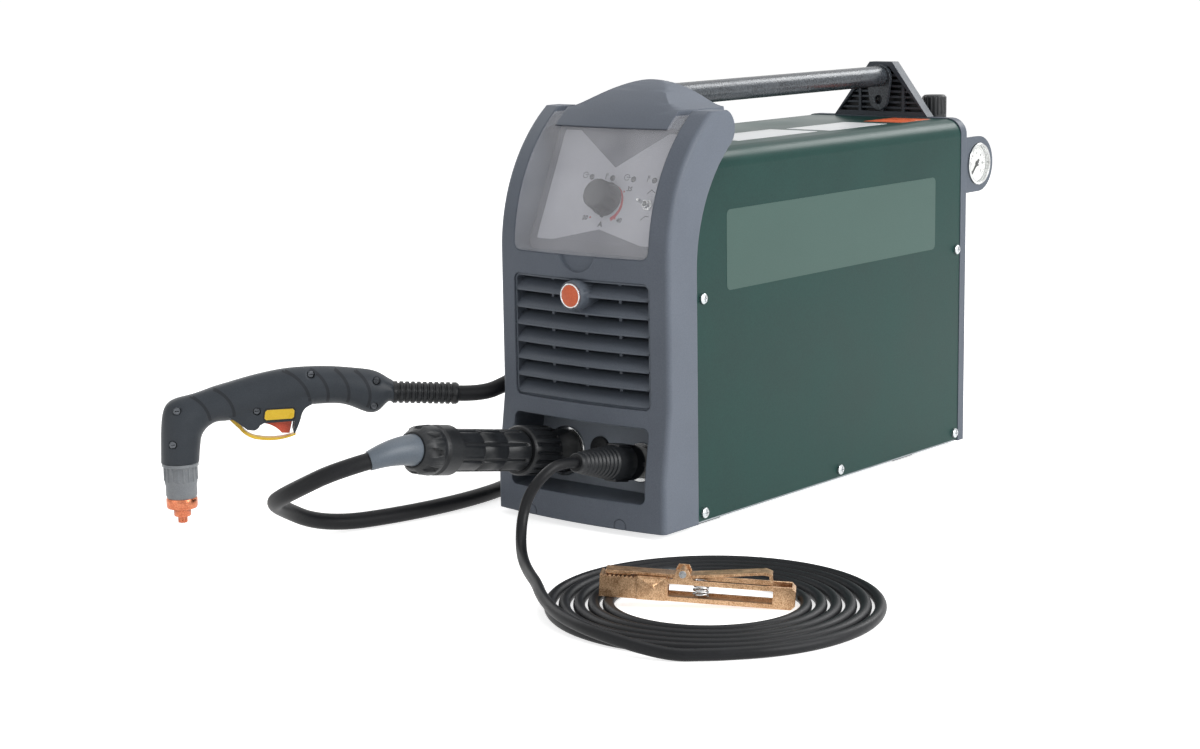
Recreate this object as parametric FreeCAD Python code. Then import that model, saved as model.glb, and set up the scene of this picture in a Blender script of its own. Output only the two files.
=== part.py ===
import FreeCAD, Part

import math
import os

Vec = FreeCAD.Vector
Rot = FreeCAD.Rotation

# A portable plasma cutter: inverter unit, torch on its lead, work lead with its clamp.
# Millimetres. X to the right seen from the front, Y to the rear, Z up, floor at Z 0.
# The origin is the centre of the unit's base.

# Overall sizes
unit_width = 185.0
half_width = unit_width / 2
unit_height = 377.0
case_rear_y = 232.0
rear_frame_depth = 11.5
floor_gap = 5.0
hump_rise = 23.0
column_top_z = unit_height - hump_rise
case_top_z = column_top_z - 32.0
case_corner_r = 16.0
seat_gap = 0.3
sheet = 1.5

# Front bezel: side outline on the middle plane, then bowed forward in plan
front_y = -242.2
lip_y = -251.0
lip_top_z = 47.0
lip_blend_z = 108.0
lean_z = 232.0
lean_r = unit_height - lean_z + 6.7
bow_depth = 8.0
bezel_wall = 3.0
bezel_back_y = -195.5
bezel_back_z = 222.0
bezel_back_end_z = column_top_z - 28.0
bezel_back_r = bezel_back_end_z - bezel_back_z + 29.7
bezel_solid_z = case_top_z - 3.0
hump_low_z = column_top_z - 18.0
edge_r = 5.0
hump_rear_y = -108.0

# Openings of the bezel
window_half = half_width - 19.0
window_low_z = 234.0
window_high_z = column_top_z - 15.0
window_corner_r = 8.0
grille_half = half_width - 18.2
grille_low_z = 107.6
grille_high_z = 214.6
grille_corner_r = 6.0
recess_half = half_width - 18.5
recess_low_z = 29.0
recess_high_z = 93.0
recess_corner_r = 6.0
tub_wall = 2.5
thumb_r = 20.0
thumb_z = 241.0
thumb_depth = 7.0
edge_plug_x = 49.0
edge_plug_z = 8.0
edge_plug_r = 6.2
edge_plug_line = 0.7

# Grille insert
slat_count = 7
slat_pitch = 15.0
slat_rise = 9.5
slat_depth = 17.0
slat_thick = 2.6
grille_frame = 1.8
grille_rib_x = 37.0
grille_rib_thick = 3.0
boss_z = 201.0
boss_r = 12.5
boss_reach = 8.0
badge_r = 10.6
badge_thick = 1.2

# Smoked window cover, its arms and hinge
cover_thick = 2.5
cover_gap = 0.6
channel_in = window_half - 12.7
hump_half = channel_in - 0.3
channel_depth = 3.6
hinge_y = -152.0
hinge_z = column_top_z - 5.5
hinge_pin_r = 1.5
running_gap = 0.05
barrel_r = 4.2
hinge_pin_in = window_half - 18.5
hinge_pin_length = 24.0

# Control panel and what it carries
panel_tilt = 24.8
panel_y = -199.1
panel_z = 277.8
panel_half = window_half + 2.0
panel_low = -50.0
panel_high = (window_high_z + 1.44 - panel_z) / math.cos(math.radians(panel_tilt))
panel_thick = 2.0
knob_shaft_r = 3.0
knob_flutes = 12
knob_pointer_reach = 16.4
knob_r = 14.0
knob_length = 18.0
knob_lift = 0.6
lamp_r = 2.6
lamp_pitch = 22.7
lamp_rise = 19.5
lamp_proud = 1.2
toggle_x = 45.5
toggle_rise = -3.0
toggle_bush_r = 3.2
toggle_ball_r = 2.3
toggle_pivot = 2.0

# Socket plate, sockets and connectors
plate_tilt = 10.0
plate_y = -206.0
plate_z = 54.5
plate_thick = 2.5
torch_socket_x = 47.5 - half_width
work_socket_x = half_width - 52.5
torch_flange_r = 22.0
work_flange_r = 17.2
flange_thick = 2.5
torch_socket_r = 18.5
work_socket_r = 14.0
remote_cap_x = -7.0
remote_cap_y = 7.0
remote_cap_r = 10.0
plate_screw_r = 2.0
plate_screw_head_r = 3.4
plate_screw_places = [(28.5 - half_width, 31.0), (half_width - 27.5, -20.0)]
plug_bore = 15.5
torch_spigot_r = plug_bore - 0.08
torch_spigot_end = 22.0
plug_ring_r = 21.75
plug_ring_grooves = 18
plug_body_r = 18.0
plug_body_grooves = 8
plug_nut_r = 21.0
plug_nut_start = 156.0
plug_nut_end = 197.0
plug_nut_notches = 8
relief_big_r = 13.2
relief_small_r = 8.0
work_pin_r = 6.9
work_plug_r = 15.2
work_plug_small_r = 8.2
work_plug_length = 90.0

# Handle
handle_r = 10.0
handle_z = unit_height - 15.0
handle_start_y = -122.0

# Leads
torch_lead_r = 7.0
work_lead_r = 4.5

# Case
cover_half = half_width - 0.5
cover_low_z = 7.0
case_screw_r = 2.0
case_screw_head_r = 4.5
tray_flange = 14.0
rear_panel_y = 230.0
rear_frame_bar = 6.5
rear_frame_top_z = case_top_z + 1.0
foot_places = (-165.0, 150.0)
foot_x = half_width - 22.5
foot_width = 22.0
foot_length = 33.0

# Fan, mains switch and gland in the rear panel
fan_x = -20.0
fan_z = 95.0
fan_size = 92.0
fan_depth = 25.0
fan_bore_r = 42.0
fan_hub_r = 17.0
fan_axle_r = 2.5
fan_blades = 7
fan_guard_first_r = 9.0
fan_guard_slot = 6.0
fan_guard_wire = 2.2
mains_x = half_width - 34.5
mains_z = 96.0
rocker_half_x = 10.4
rocker_axle_r = 1.5
gland_z = 50.0
gland_r = 8.0

# Inside
board_z = 24.0
board_thick = 1.6
post_x = half_width - 16.5
post_places = [(-post_x, -140.0), (post_x, -140.0), (-post_x, 180.0), (post_x, 180.0)]

# Rear bracket and handle end
bracket_depth = 12.0
bracket_top_z = unit_height - 1.0
bracket_half_low = half_width - 38.5
bracket_half_high = 13.0
bracket_flange = 4.5
bracket_bar_pitch = 25.0
bracket_louvre_pitch = 5.3
handle_end_y = 228.0
lug_thick = case_rear_y - handle_end_y
lug_hole_z = handle_z - 23.0
lug_hole_r = 4.5

# Air regulator and gauge
regulator_x = half_width - 52.5
regulator_y = 268.0
regulator_z = case_top_z - 45.4
regulator_stem_r = 4.0
regulator_nipple_r = 7.0
inlet_bore_r = 5.75
inlet_depth = 14.0
gauge_y = regulator_y
gauge_back_x = half_width - 20.5
gauge_front_x = half_width + 0.5
gauge_r = 20.25
gauge_stud_r = 0.9
gauge_rest_angle = 135.0
cheek_x = half_width - 4.0
cheek_thick = 2.5
cheek_r = 27.0

# Torch: rings across it, each by its inner and its outer point as (distance along, height),
# and half its width
torch_tip_x = -293.4
torch_tip_y = -437.0
torch_turn = 49.92
torch_head_s = 2.1
torch_head_low_z = 54.0
torch_wall = 2.4
torch_rings = [
    (18.6, torch_head_low_z, -14.4, torch_head_low_z, 16.2),
    (19.0, 58.5, -14.2, 58.5, 16.2),
    (19.5, 63.5, -14.0, 63.5, 16.3),
    (20.3, 69.5, -13.7, 70.5, 16.3),
    (21.8, 76.5, -12.6, 88.0, 16.2),
    (25.2, 82.0, -6.5, 106.5, 15.6),
    (30.4, 86.2, 14.0, 113.4, 13.6),
    (36.5, 88.4, 31.5, 118.8, 14.5),
    (46.0, 88.6, 46.0, 122.6, 14.8),
    (60.0, 89.8, 60.0, 126.2, 15.0),
    (78.0, 92.5, 78.0, 130.0, 15.2),
    (97.0, 96.3, 97.0, 132.6, 15.4),
    (112.0, 99.0, 112.0, 133.2, 15.4),
    (128.0, 99.7, 128.0, 132.9, 15.4),
    (146.0, 98.3, 146.0, 131.4, 15.4),
    (158.0, 93.6, 158.0, 129.8, 15.2),
    (169.0, 89.6, 169.0, 128.0, 14.6),
    (178.5, 92.8, 178.5, 124.5, 13.0),
    (189.5, 96.6, 189.5, 117.4, 10.2),
]
torch_hollow_span = (105.0, 180.0)
torch_screw_r = 1.5
torch_screw_head_r = 3.2
torch_boss_r = 5.2
torch_screw_places = [(1.3, 101.5, 12.5), (-3.3, 72.1, 12.8), (69.6, 97.4, 8.0),
                      (117.5, 127.5, 7.0), (174.5, 119.0, 8.0), (171.6, 97.0, 7.5)]
guard_front_s = 40.0
guard_front_w = 10.8
guard_rear_s = 118.0
guard_rear_w = 14.3
trigger_front_s = 75.4
trigger_rear_s = 100.0
trigger_half_w = 5.5
trigger_s = 79.0
trigger_z = 92.5
trigger_pin_r = 1.2
slot_gap = 0.6
safety_s = 47.5
safety_z = 91.8
safety_half_w = 4.0
relief_start_s = 188.8
relief_start_z = 106.8
relief_end_s = 247.4
relief_end_z = 102.8
relief_r = 9.7

# Torch lead: coil at the left of the unit, and its free stretches
torch_coil_x = -209.5
torch_coil_y = 86.5
torch_coil_r = 106.0
torch_coil_pitch = 14.8
torch_coil_layer = 14.6
torch_coil_start = 225.0
torch_coil_turns = 5.625
torch_coil_round = 0.12
torch_lead_route = [
    (-54.0, -441.0, 85.7),
    (-68.0, -467.0, 80.0),
    (-90.0, -483.0, 67.0),
    (-117.0, -482.0, 54.0),
    (-142.0, -465.0, 43.0),
    (-156.0, -438.0, 30.0),
    (-159.0, -408.0, 15.0),
    (-152.0, -374.0, 7.5),
    (-139.0, -334.0, 7.0),
    (-129.0, -286.0, 7.0),
    (-126.0, -238.0, 7.0),
    (-131.0, -190.0, 7.0),
    (-149.0, -143.0, 7.0),
    (-180.0, -96.0, 7.0),
    (-216.0, -56.0, 7.0),
]
torch_rear_route = [
    (-104.5, 6.0, 27.5),
    (-106.5, -38.0, 47.0),
    (-108.0, -82.0, 71.0),
    (-107.5, -122.0, 95.0),
    (-106.5, -153.0, 112.0),
    (-107.5, -185.5, 116.5),
    (-109.5, -210.5, 108.5),
]

# Work lead: its free stretch, flat coil and end at the clamp
work_coil_x = 245.0
work_coil_y = -384.0
work_coil_r = 130.0
work_coil_pitch = 11.07
work_coil_start = 310.0
work_coil_turns = 5.42
work_coil_draw = 3.0
work_coil_draw_turns = 0.25
work_lead_route = [
    (36.2, -331.6, 65.9),
    (29.3, -341.2, 50.7),
    (23.6, -341.2, 33.0),
    (25.4, -349.0, 15.7),
    (33.3, -363.4, 5.2),
    (52.0, -386.0, 4.8),
    (85.0, -411.0, 8.5),
    (122.0, -441.0, 12.8),
    (158.0, -476.0, 14.7),
    (198.0, -504.0, 14.2),
    (243.0, -517.5, 12.5),
]
work_tail_route = [
    (202.6, -328.6, 5.4),
    (192.2, -340.4, 8.4),
    (185.3, -356.3, 12.6),
]

# Clamp
clamp_x = 171.0
clamp_y = -424.6
clamp_z = 9.6
clamp_turn = 33.4
clamp_lean = 3.7
clamp_length = 147.0
clamp_half_w = 9.0
clamp_high = 17.0
clamp_sheet = 1.8
clamp_rail = 3.6
clamp_jaw = 28.0
clamp_block_end = 50.0
clamp_window_end = 130.0
clamp_entry_x = 39.0
clamp_entry_z = 9.0
clamp_sleeve = 5.0
clamp_pivot_x = 62.0
clamp_pivot_z = 21.5
clamp_pin_r = 1.6
clamp_spring_x = 76.0


def vec(point):
    return Vec(*point)


def box(x0, x1, y0, y1, z0, z1):
    return Part.makeBox(x1 - x0, y1 - y0, z1 - z0, Vec(x0, y0, z0))


def rod(base, direction, radius, length):
    return Part.makeCylinder(radius, length, vec(base), vec(direction))


def line(a, b):
    return Part.LineSegment(a, b).toShape()


def arc(a, middle, b):
    return Part.Arc(a, middle, b).toShape()


def fused(shapes):
    first = shapes[0]
    if len(shapes) == 1:
        return first
    return first.fuse(shapes[1:]).removeSplitter()


def prism(points, reach):
    """A closed polygon of points, swept along the vector reach."""
    wire = Part.makePolygon([vec(p) for p in points + points[:1]])
    return Part.Face(wire).extrude(vec(reach))


def side_prism(points, x0, x1):
    """An outline of (y, z) points, from x0 to x1."""
    return prism([(x0, y, z) for y, z in points], (x1 - x0, 0, 0))


def front_prism(points, y0, y1):
    """An outline of (x, z) points, from y0 to y1."""
    return prism([(x, y0, z) for x, z in points], (0, y1 - y0, 0))


def rounded_rect_wire(x0, x1, z0, z1, r, y=0.0):
    """A rectangle with round corners in the plane of one y."""
    k = r * (1 - math.sqrt(0.5))
    corners = [
        (x1 - r, z0, x1 - k, z0 + k, x1, z0 + r),
        (x1, z1 - r, x1 - k, z1 - k, x1 - r, z1),
        (x0 + r, z1, x0 + k, z1 - k, x0, z1 - r),
        (x0, z0 + r, x0 + k, z0 + k, x0 + r, z0),
    ]
    edges = []
    for i, (ax, az, mx, mz, bx, bz) in enumerate(corners):
        edges.append(arc(Vec(ax, y, az), Vec(mx, y, mz), Vec(bx, y, bz)))
        nx, nz = corners[(i + 1) % 4][:2]
        edges.append(line(Vec(bx, y, bz), Vec(nx, y, nz)))
    return Part.Wire(edges)


def rounded_block(x0, x1, y0, y1, z0, z1, r):
    """A block whose four edges along Y are round."""
    return Part.Face(rounded_rect_wire(x0, x1, z0, z1, r, y0)).extrude(Vec(0, y1 - y0, 0))


def turned(profile, base=(0, 0, 0), direction=(0, 0, 1)):
    """A turned piece: (radius, distance) points revolved about an axis through base."""
    points = [Vec(r, 0, h) for r, h in profile]
    face = Part.Face(Part.makePolygon(points + points[:1]))
    solid = face.revolve(Vec(0, 0, 0), Vec(0, 0, 1), 360)
    solid.Placement = FreeCAD.Placement(vec(base), Rot(Vec(0, 0, 1), vec(direction)))
    return solid


def tilted(shape, origin, tilt):
    """A piece drawn on the plane Z 0 facing +Z, turned to face -Y and leaned back by tilt."""
    normal = Vec(0, -math.cos(math.radians(tilt)), math.sin(math.radians(tilt)))
    up = Vec(0, math.sin(math.radians(tilt)), math.cos(math.radians(tilt)))
    rotation = Rot(Vec(1, 0, 0), up, normal, "ZXY")
    shape.Placement = FreeCAD.Placement(vec(origin), rotation).multiply(shape.Placement)
    return shape


# The bezel's front face is bowed: its side outline turns about a far upright axis.
bow_r = (half_width ** 2 + bow_depth ** 2) / (2 * bow_depth)
bow_axis_y = front_y + bow_r
lean_centre_y = front_y + lean_r


def front_at(z, inset=0.0):
    """Y of the front outline on the middle plane, at height z."""
    if z <= lip_top_z:
        return lip_y + inset
    if z <= lip_blend_z:
        share = (z - lip_top_z) / (lip_blend_z - lip_top_z)
        return lip_y + share * (front_y - lip_y) + inset
    if z <= lean_z:
        return front_y + inset
    return lean_centre_y - math.sqrt((lean_r - inset) ** 2 - (z - lean_z) ** 2)


def bowed(face):
    """Sweep a face on the middle plane to both sides about the bow's axis."""
    spread = 15.0
    centre = Vec(0, bow_axis_y, 0)
    face = face.copy()
    face.rotate(centre, Vec(0, 0, 1), -spread)
    return face.revolve(centre, Vec(0, 0, 1), 2 * spread)


def bowed_mass(inset, z0, z1, back_y):
    """Everything behind the front outline, bowed in plan."""
    marks = [z0] + [z for z in (lip_top_z, lip_blend_z, lean_z) if z0 < z < z1]
    points = [Vec(0, front_at(z, inset), z) for z in marks]
    edges = []
    if z1 <= lean_z:
        points.append(Vec(0, front_at(z1, inset), z1))
        edges = [line(a, b) for a, b in zip(points, points[1:])]
    else:
        edges = [line(a, b) for a, b in zip(points, points[1:])]
        start = max(z0, lean_z)
        middle = (start + z1) / 2
        edges.append(arc(points[-1], Vec(0, front_at(middle, inset), middle),
                         Vec(0, front_at(z1, inset), z1)))
        points.append(Vec(0, front_at(z1, inset), z1))
    top = Vec(0, back_y, z1)
    low = Vec(0, back_y, z0)
    edges += [line(points[-1], top), line(top, low), line(low, points[0])]
    return bowed(Part.Face(Part.Wire(edges)))


def back_curve_at(z, shift=0.0):
    """Y of the bezel's rear edge, which the case meets."""
    if z <= bezel_back_z:
        return bezel_back_y + shift
    centre_y = bezel_back_y + bezel_back_r
    return centre_y - math.sqrt((bezel_back_r - shift) ** 2 - (z - bezel_back_z) ** 2)


def side_band(x0, x1, shift, z0, front=-275.0):
    """The bezel seen from the side: all that lies in front of its rear edge."""
    z_end = bezel_back_end_z
    z_mid = (bezel_back_z + z_end) / 2
    p = [
        Vec(x0, front, z0),
        Vec(x0, back_curve_at(z0, shift), z0),
        Vec(x0, back_curve_at(bezel_back_z, shift), bezel_back_z),
        Vec(x0, back_curve_at(z_mid, shift), z_mid),
        Vec(x0, back_curve_at(z_end, shift), z_end),
    ]
    top_round = Vec(x0, p[4].y + 5.0, z_end + 15.0)
    top_rear = Vec(x0, p[4].y - 6.0, column_top_z)
    top_front = Vec(x0, front, column_top_z)
    edges = [
        line(p[0], p[1]),
        line(p[1], p[2]),
        arc(p[2], p[3], p[4]),
        arc(p[4], top_round, top_rear),
        line(top_rear, top_front),
        line(top_front, p[0]),
    ]
    return Part.Face(Part.Wire(edges)).extrude(Vec(x1 - x0, 0, 0))


def hump():
    """The bell-shaped rise that carries the front end of the handle tube."""
    low = hump_low_z
    left = [Vec(-hump_half, 0, column_top_z), Vec(-42, 0, column_top_z + 1.5),
            Vec(-30, 0, unit_height), Vec(0, 0, unit_height)]
    right = [Vec(-v.x, 0, v.z) for v in reversed(left)]
    curves = []
    for poles in (left, right):
        bezier = Part.BezierCurve()
        bezier.setPoles(poles)
        curves.append(bezier.toShape())
    base = [
        line(Vec(hump_half, 0, column_top_z), Vec(hump_half, 0, low)),
        line(Vec(hump_half, 0, low), Vec(-hump_half, 0, low)),
        line(Vec(-hump_half, 0, low), Vec(-hump_half, 0, column_top_z)),
    ]
    bell = Part.Face(Part.Wire(curves + base)).extrude(Vec(0, 200, 0))
    bell.translate(Vec(0, -270, 0))
    y = hump_rear_y
    crest = Vec(0, y - 34, unit_height + 1)
    edges = [
        line(Vec(0, -275, low), Vec(0, y - 6, low)),
        arc(Vec(0, y - 6, low), Vec(0, y - 4.5, unit_height - 24), crest),
        line(crest, Vec(0, -275, unit_height + 1)),
        line(Vec(0, -275, unit_height + 1), Vec(0, -275, low)),
    ]
    side = Part.Face(Part.Wire(edges)).extrude(Vec(2 * hump_half, 0, 0))
    side.translate(Vec(-hump_half, 0, 0))
    return bell.common(side).common(bowed_mass(0, low, unit_height + 2, -70))


def in_front_of(origin, tilt):
    """The space in front of a leaned plane."""
    return tilted(box(-130, 130, -220, 260, 0, 200), origin, tilt)


panel_origin = (0, panel_y, panel_z)
plate_origin = (0, plate_y, plate_z)


def tub(half, z0, z1, r, origin, tilt):
    """The moulded walls round an opening, from the front face back to a plate."""
    walls = rounded_block(-half - tub_wall, half + tub_wall, -275, -150,
                          z0 - tub_wall, z1 + tub_wall, r + tub_wall)
    return walls.common(in_front_of(origin, tilt))


def hinge_channel(side):
    """The groove in which one arm of the window cover runs to its hinge."""
    x0, x1 = sorted((side * channel_in, side * window_half))
    arm_floor = hinge_z - cover_thick / 2 - cover_gap
    groove = box(x0, x1, -275, hinge_y - 4, window_high_z - window_corner_r - 1, unit_height)
    groove = groove.cut(bowed_mass(channel_depth, 300, arm_floor, -100))
    pocket = rod((x0, hinge_y, hinge_z), (1, 0, 0), barrel_r + cover_gap, x1 - x0)
    mouth = box(x0, x1, hinge_y - 5.2, hinge_y + 22, hinge_z, unit_height)
    return [groove, pocket, mouth]


def edge_plug_groove(x):
    """The thin joint round a round plug in the lower edge, cut off by that edge."""
    inner_r = edge_plug_r - edge_plug_line
    disc = rod((x, -275, edge_plug_z), (0, 1, 0), edge_plug_r, 45)
    core = rod((x, -276, edge_plug_z), (0, 1, 0), inner_r, 47)
    return disc.cut(core).cut(bowed_mass(edge_plug_line, floor_gap, lip_top_z, -200))


def front_bezel():
    outer = bowed_mass(0, floor_gap, column_top_z, -100)
    outer = outer.common(side_band(-half_width, half_width, 0, floor_gap))
    corner_edges = []
    for edge in outer.Edges:
        ends = edge.BoundBox
        upright = ends.ZLength > 1 and ends.YMax < bezel_back_y - 3
        at_side = abs(abs(ends.XMin) - half_width) < 0.01 and ends.XLength < 0.01
        if upright and at_side:
            corner_edges.append(edge)
    outer = outer.makeFillet(edge_r, corner_edges)
    hollow_half = half_width - bezel_wall
    hollow = bowed_mass(bezel_wall, floor_gap + bezel_wall, bezel_solid_z, -100)
    hollow = hollow.common(box(-hollow_half, hollow_half, -275, -110, 0, bezel_solid_z))
    walls = outer.cut(hollow)
    window_tub = tub(window_half, window_low_z, window_high_z, window_corner_r,
                     panel_origin, panel_tilt)
    recess_tub = tub(recess_half, recess_low_z, recess_high_z, recess_corner_r,
                     plate_origin, plate_tilt)
    thumb_pad = box(-thumb_r - 6, thumb_r + 6, -275, front_y + thumb_depth + 3,
                    grille_high_z + 1, window_low_z)
    inner_forms = [part.common(outer) for part in (window_tub, recess_tub, thumb_pad)]
    body = walls.fuse(inner_forms + [hump()])
    cuts = [
        rounded_block(-window_half, window_half, -275, -160, window_low_z, window_high_z,
                      window_corner_r),
        rounded_block(-grille_half, grille_half, -275, -200, grille_low_z, grille_high_z,
                      grille_corner_r),
        rounded_block(-recess_half, recess_half, -275, -150, recess_low_z, recess_high_z,
                      recess_corner_r),
        rod((0, front_y - 6, thumb_z), (0, 1, -0.12), thumb_r, thumb_depth + 4),
        rod((0, handle_start_y, handle_z), (0, 1, 0), handle_r, 60),
        tilted(box(-panel_half - 0.3, panel_half + 0.3, panel_low - 0.3, panel_high + 0.3,
                   -panel_thick - 0.3, 0), panel_origin, panel_tilt),
    ]
    for side in (-1, 1):
        cuts += hinge_channel(side)
        cuts.append(edge_plug_groove(side * edge_plug_x))
        cuts.append(rod((side * hinge_pin_in, hinge_y, hinge_z), (side, 0, 0), hinge_pin_r,
                        hinge_pin_length))
    return body.cut(cuts)


def front_grille():
    fit = seat_gap
    x = grille_half - fit
    z0, z1 = grille_low_z + fit, grille_high_z - fit
    rear_y = front_y + slat_depth + 9
    outer = rounded_block(-x, x, -275, rear_y, z0, z1, grille_corner_r - fit)
    t = grille_frame
    inner = rounded_block(-x + t, x - t, -276, rear_y + 1, z0 + t, z1 - t,
                          grille_corner_r - fit - t)
    frame = outer.cut(inner).common(bowed_mass(1.5, z0 - 1, z1 + 1, -200))
    y = front_y + 1.0
    blades = []
    for i in range(slat_count):
        z = z0 + t - 0.4 + i * slat_pitch
        low_front = Vec(0, y, z)
        high_front = Vec(0, y, z + 1.4)
        crown = Vec(0, y + 0.38 * slat_depth, z + 0.72 * slat_rise + 1.2)
        high_rear = Vec(0, y + slat_depth, z + slat_rise + slat_thick)
        low_rear = Vec(0, y + slat_depth, z + slat_rise)
        edges = [
            line(low_front, high_front),
            arc(high_front, crown, high_rear),
            line(high_rear, low_rear),
            line(low_rear, low_front),
        ]
        blades.append(bowed(Part.Face(Part.Wire(edges))))
    ribs = []
    for x_rib in (-grille_rib_x, 0, grille_rib_x):
        half = grille_rib_thick / 2
        ribs.append(box(x_rib - half, x_rib + half, y + slat_depth - 5, rear_y, z0, z1))
    trim = rounded_block(-x + t / 2, x - t / 2, -276, rear_y, z0 + t / 2, z1 - t / 2,
                         grille_corner_r - fit - t / 2)
    boss_back = y + slat_depth - 2
    boss = turned([(0, 0), (boss_r + 1.5, 0), (boss_r, boss_back - front_y + boss_reach - 1),
                   (boss_r - 1, boss_back - front_y + boss_reach),
                   (0, boss_back - front_y + boss_reach)],
                  (0, boss_back, boss_z), (0, -1, 0))
    seat = rod((0, front_y - boss_reach, boss_z), (0, 1, 0), badge_r, badge_thick / 2)
    filling = fused(blades + ribs).common(trim)
    return fused([frame, filling, boss]).cut(seat)


def badge_disc():
    y = front_y - boss_reach + badge_thick / 2
    return turned([(0, 0), (badge_r, 0), (badge_r, badge_thick - 0.4),
                   (badge_r - 0.6, badge_thick), (0, badge_thick)], (0, y, boss_z), (0, -1, 0))


def window_cover():
    gap = cover_gap
    inset = 0.3
    low = window_low_z - 1
    top_out = hinge_z + cover_thick / 2
    top_in = hinge_z - cover_thick / 2
    mid_out = (low + top_out) / 2
    mid_in = (low + top_in) / 2
    deep = inset + cover_thick
    start = Vec(0, front_at(lean_z + 2, inset), low)
    inner_start = Vec(0, front_at(lean_z + 2, deep), low)
    out_top = Vec(0, front_at(top_out, inset), top_out)
    in_top = Vec(0, front_at(top_in, deep), top_in)
    edges = [
        arc(start, Vec(0, front_at(mid_out, inset), mid_out), out_top),
        line(out_top, Vec(0, hinge_y, top_out)),
        line(Vec(0, hinge_y, top_out), Vec(0, hinge_y, top_in)),
        line(Vec(0, hinge_y, top_in), in_top),
        arc(in_top, Vec(0, front_at(mid_in, deep), mid_in), inner_start),
        line(inner_start, start),
    ]
    skin = bowed(Part.Face(Part.Wire(edges)))
    x = window_half - gap
    outline = rounded_block(-x, x, -275, hinge_y, window_low_z + gap, unit_height,
                            window_corner_r - gap)
    hump_side = channel_in + gap
    notch = box(-hump_side, hump_side, -276, hinge_y + 1, window_high_z - gap, unit_height + 1)
    skin = skin.common(outline.cut(notch))
    barrels = []
    bores = []
    for side in (-1, 1):
        barrels.append(rod((side * hump_side, hinge_y, hinge_z), (side, 0, 0), barrel_r,
                           x - hump_side))
        bores.append(rod((side * (hump_side - 1), hinge_y, hinge_z), (side, 0, 0),
                         hinge_pin_r + running_gap, x - hump_side + 2))
    return fused([skin] + barrels).cut(bores)


def window_pins():
    pins = []
    for side in (-1, 1):
        pins.append(rod((side * hinge_pin_in, hinge_y, hinge_z), (side, 0, 0), hinge_pin_r,
                        hinge_pin_length))
    return Part.makeCompound(pins)


def lamp_places():
    return [(i * lamp_pitch, lamp_rise) for i in range(-1, 3)]


def control_panel():
    plate = box(-panel_half, panel_half, panel_low, panel_high, -panel_thick, 0)
    holes = [rod((0, 0, -5), (0, 0, 1), knob_shaft_r + running_gap, 10)]
    for x, y in lamp_places():
        holes.append(rod((x, y, -5), (0, 0, 1), lamp_r, 10))
    holes.append(rod((toggle_x, toggle_rise, -5), (0, 0, 1), toggle_bush_r, 10))
    return tilted(plate.cut(holes), panel_origin, panel_tilt)


def panel_lamps():
    lamps = []
    for x, y in lamp_places():
        lamps.append(turned([(0, -panel_thick - 3), (lamp_r, -panel_thick - 3), (lamp_r, 0.4),
                             (lamp_r - 0.6, lamp_proud), (0, lamp_proud + 0.3)], (x, y, 0)))
    return tilted(Part.makeCompound(lamps), panel_origin, panel_tilt)


def current_knob():
    top = knob_lift + knob_length
    body = turned([(0, -9), (knob_shaft_r, -9), (knob_shaft_r, knob_lift),
                   (knob_r + 1, knob_lift), (knob_r + 1, knob_lift + 2.5),
                   (knob_r, knob_lift + 3.5), (knob_r - 1, top - 1.5), (knob_r - 2.5, top),
                   (0, top)])
    flutes = []
    for i in range(knob_flutes):
        a = 2 * math.pi * i / knob_flutes
        r = knob_r + 1.6
        flutes.append(rod((r * math.cos(a), r * math.sin(a), knob_lift + 4.5), (0, 0, 1), 3,
                          knob_length))
    pointer = box(-0.7, 0.7, -knob_pointer_reach, -knob_r + 0.5, knob_lift, knob_lift + 2.5)
    return tilted(body.cut(flutes).fuse(pointer), panel_origin, panel_tilt)


def mode_switch():
    place = (toggle_x, toggle_rise, 0)
    nut = Part.Face(Part.makePolygon([
        Vec(5 * math.cos(math.radians(a)), 5 * math.sin(math.radians(a)), 0)
        for a in range(0, 361, 60)])).extrude(Vec(0, 0, 2))
    barrel = rod((0, 0, -panel_thick), (0, 0, 1), toggle_bush_r, panel_thick + 6)
    case = box(-5, 5, -7, 7, -panel_thick - 11, -panel_thick)
    bore = rod((0, 0, -4), (0, 0, 1), toggle_ball_r + running_gap, 11)
    whole = fused([nut, barrel, case]).cut(bore)
    whole.translate(vec(place))
    return tilted(whole, panel_origin, panel_tilt)


def mode_toggle():
    ball = Part.makeSphere(toggle_ball_r, Vec(0, 0, toggle_pivot))
    stem = turned([(0, toggle_pivot), (0.9, toggle_pivot), (0.9, 7), (1.8, 14), (1.6, 16),
                   (0.9, 16.8), (0, 17)])
    lever = ball.fuse(stem)
    lever.translate(Vec(toggle_x, toggle_rise, 0))
    return tilted(lever, panel_origin, panel_tilt)


def socket_plate():
    low = (recess_low_z - tub_wall - plate_z) / math.cos(math.radians(plate_tilt))
    high = (recess_high_z + tub_wall - plate_z) / math.cos(math.radians(plate_tilt))
    half = recess_half + tub_wall
    plate = box(-half, half, low, high, -plate_thick, 0)
    holes = [
        rod((torch_socket_x, 0, -5), (0, 0, 1), torch_socket_r, 10),
        rod((work_socket_x, 0, -5), (0, 0, 1), work_socket_r, 10),
        rod((remote_cap_x, remote_cap_y, -5), (0, 0, 1), remote_cap_r - 2, 10),
    ]
    for x, y in plate_screw_places:
        holes.append(rod((x, y, -5), (0, 0, 1), plate_screw_r, 10))
    return tilted(plate.cut(holes), plate_origin, plate_tilt)


def torch_socket():
    body = turned([(0, -24), (torch_socket_r, -24), (torch_socket_r, 0), (torch_flange_r, 0),
                   (torch_flange_r, flange_thick - 0.6), (torch_flange_r - 0.6, flange_thick),
                   (torch_spigot_r, flange_thick), (torch_spigot_r, torch_spigot_end),
                   (0, torch_spigot_end)], (torch_socket_x, 0, 0))
    return tilted(body, plate_origin, plate_tilt)


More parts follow.
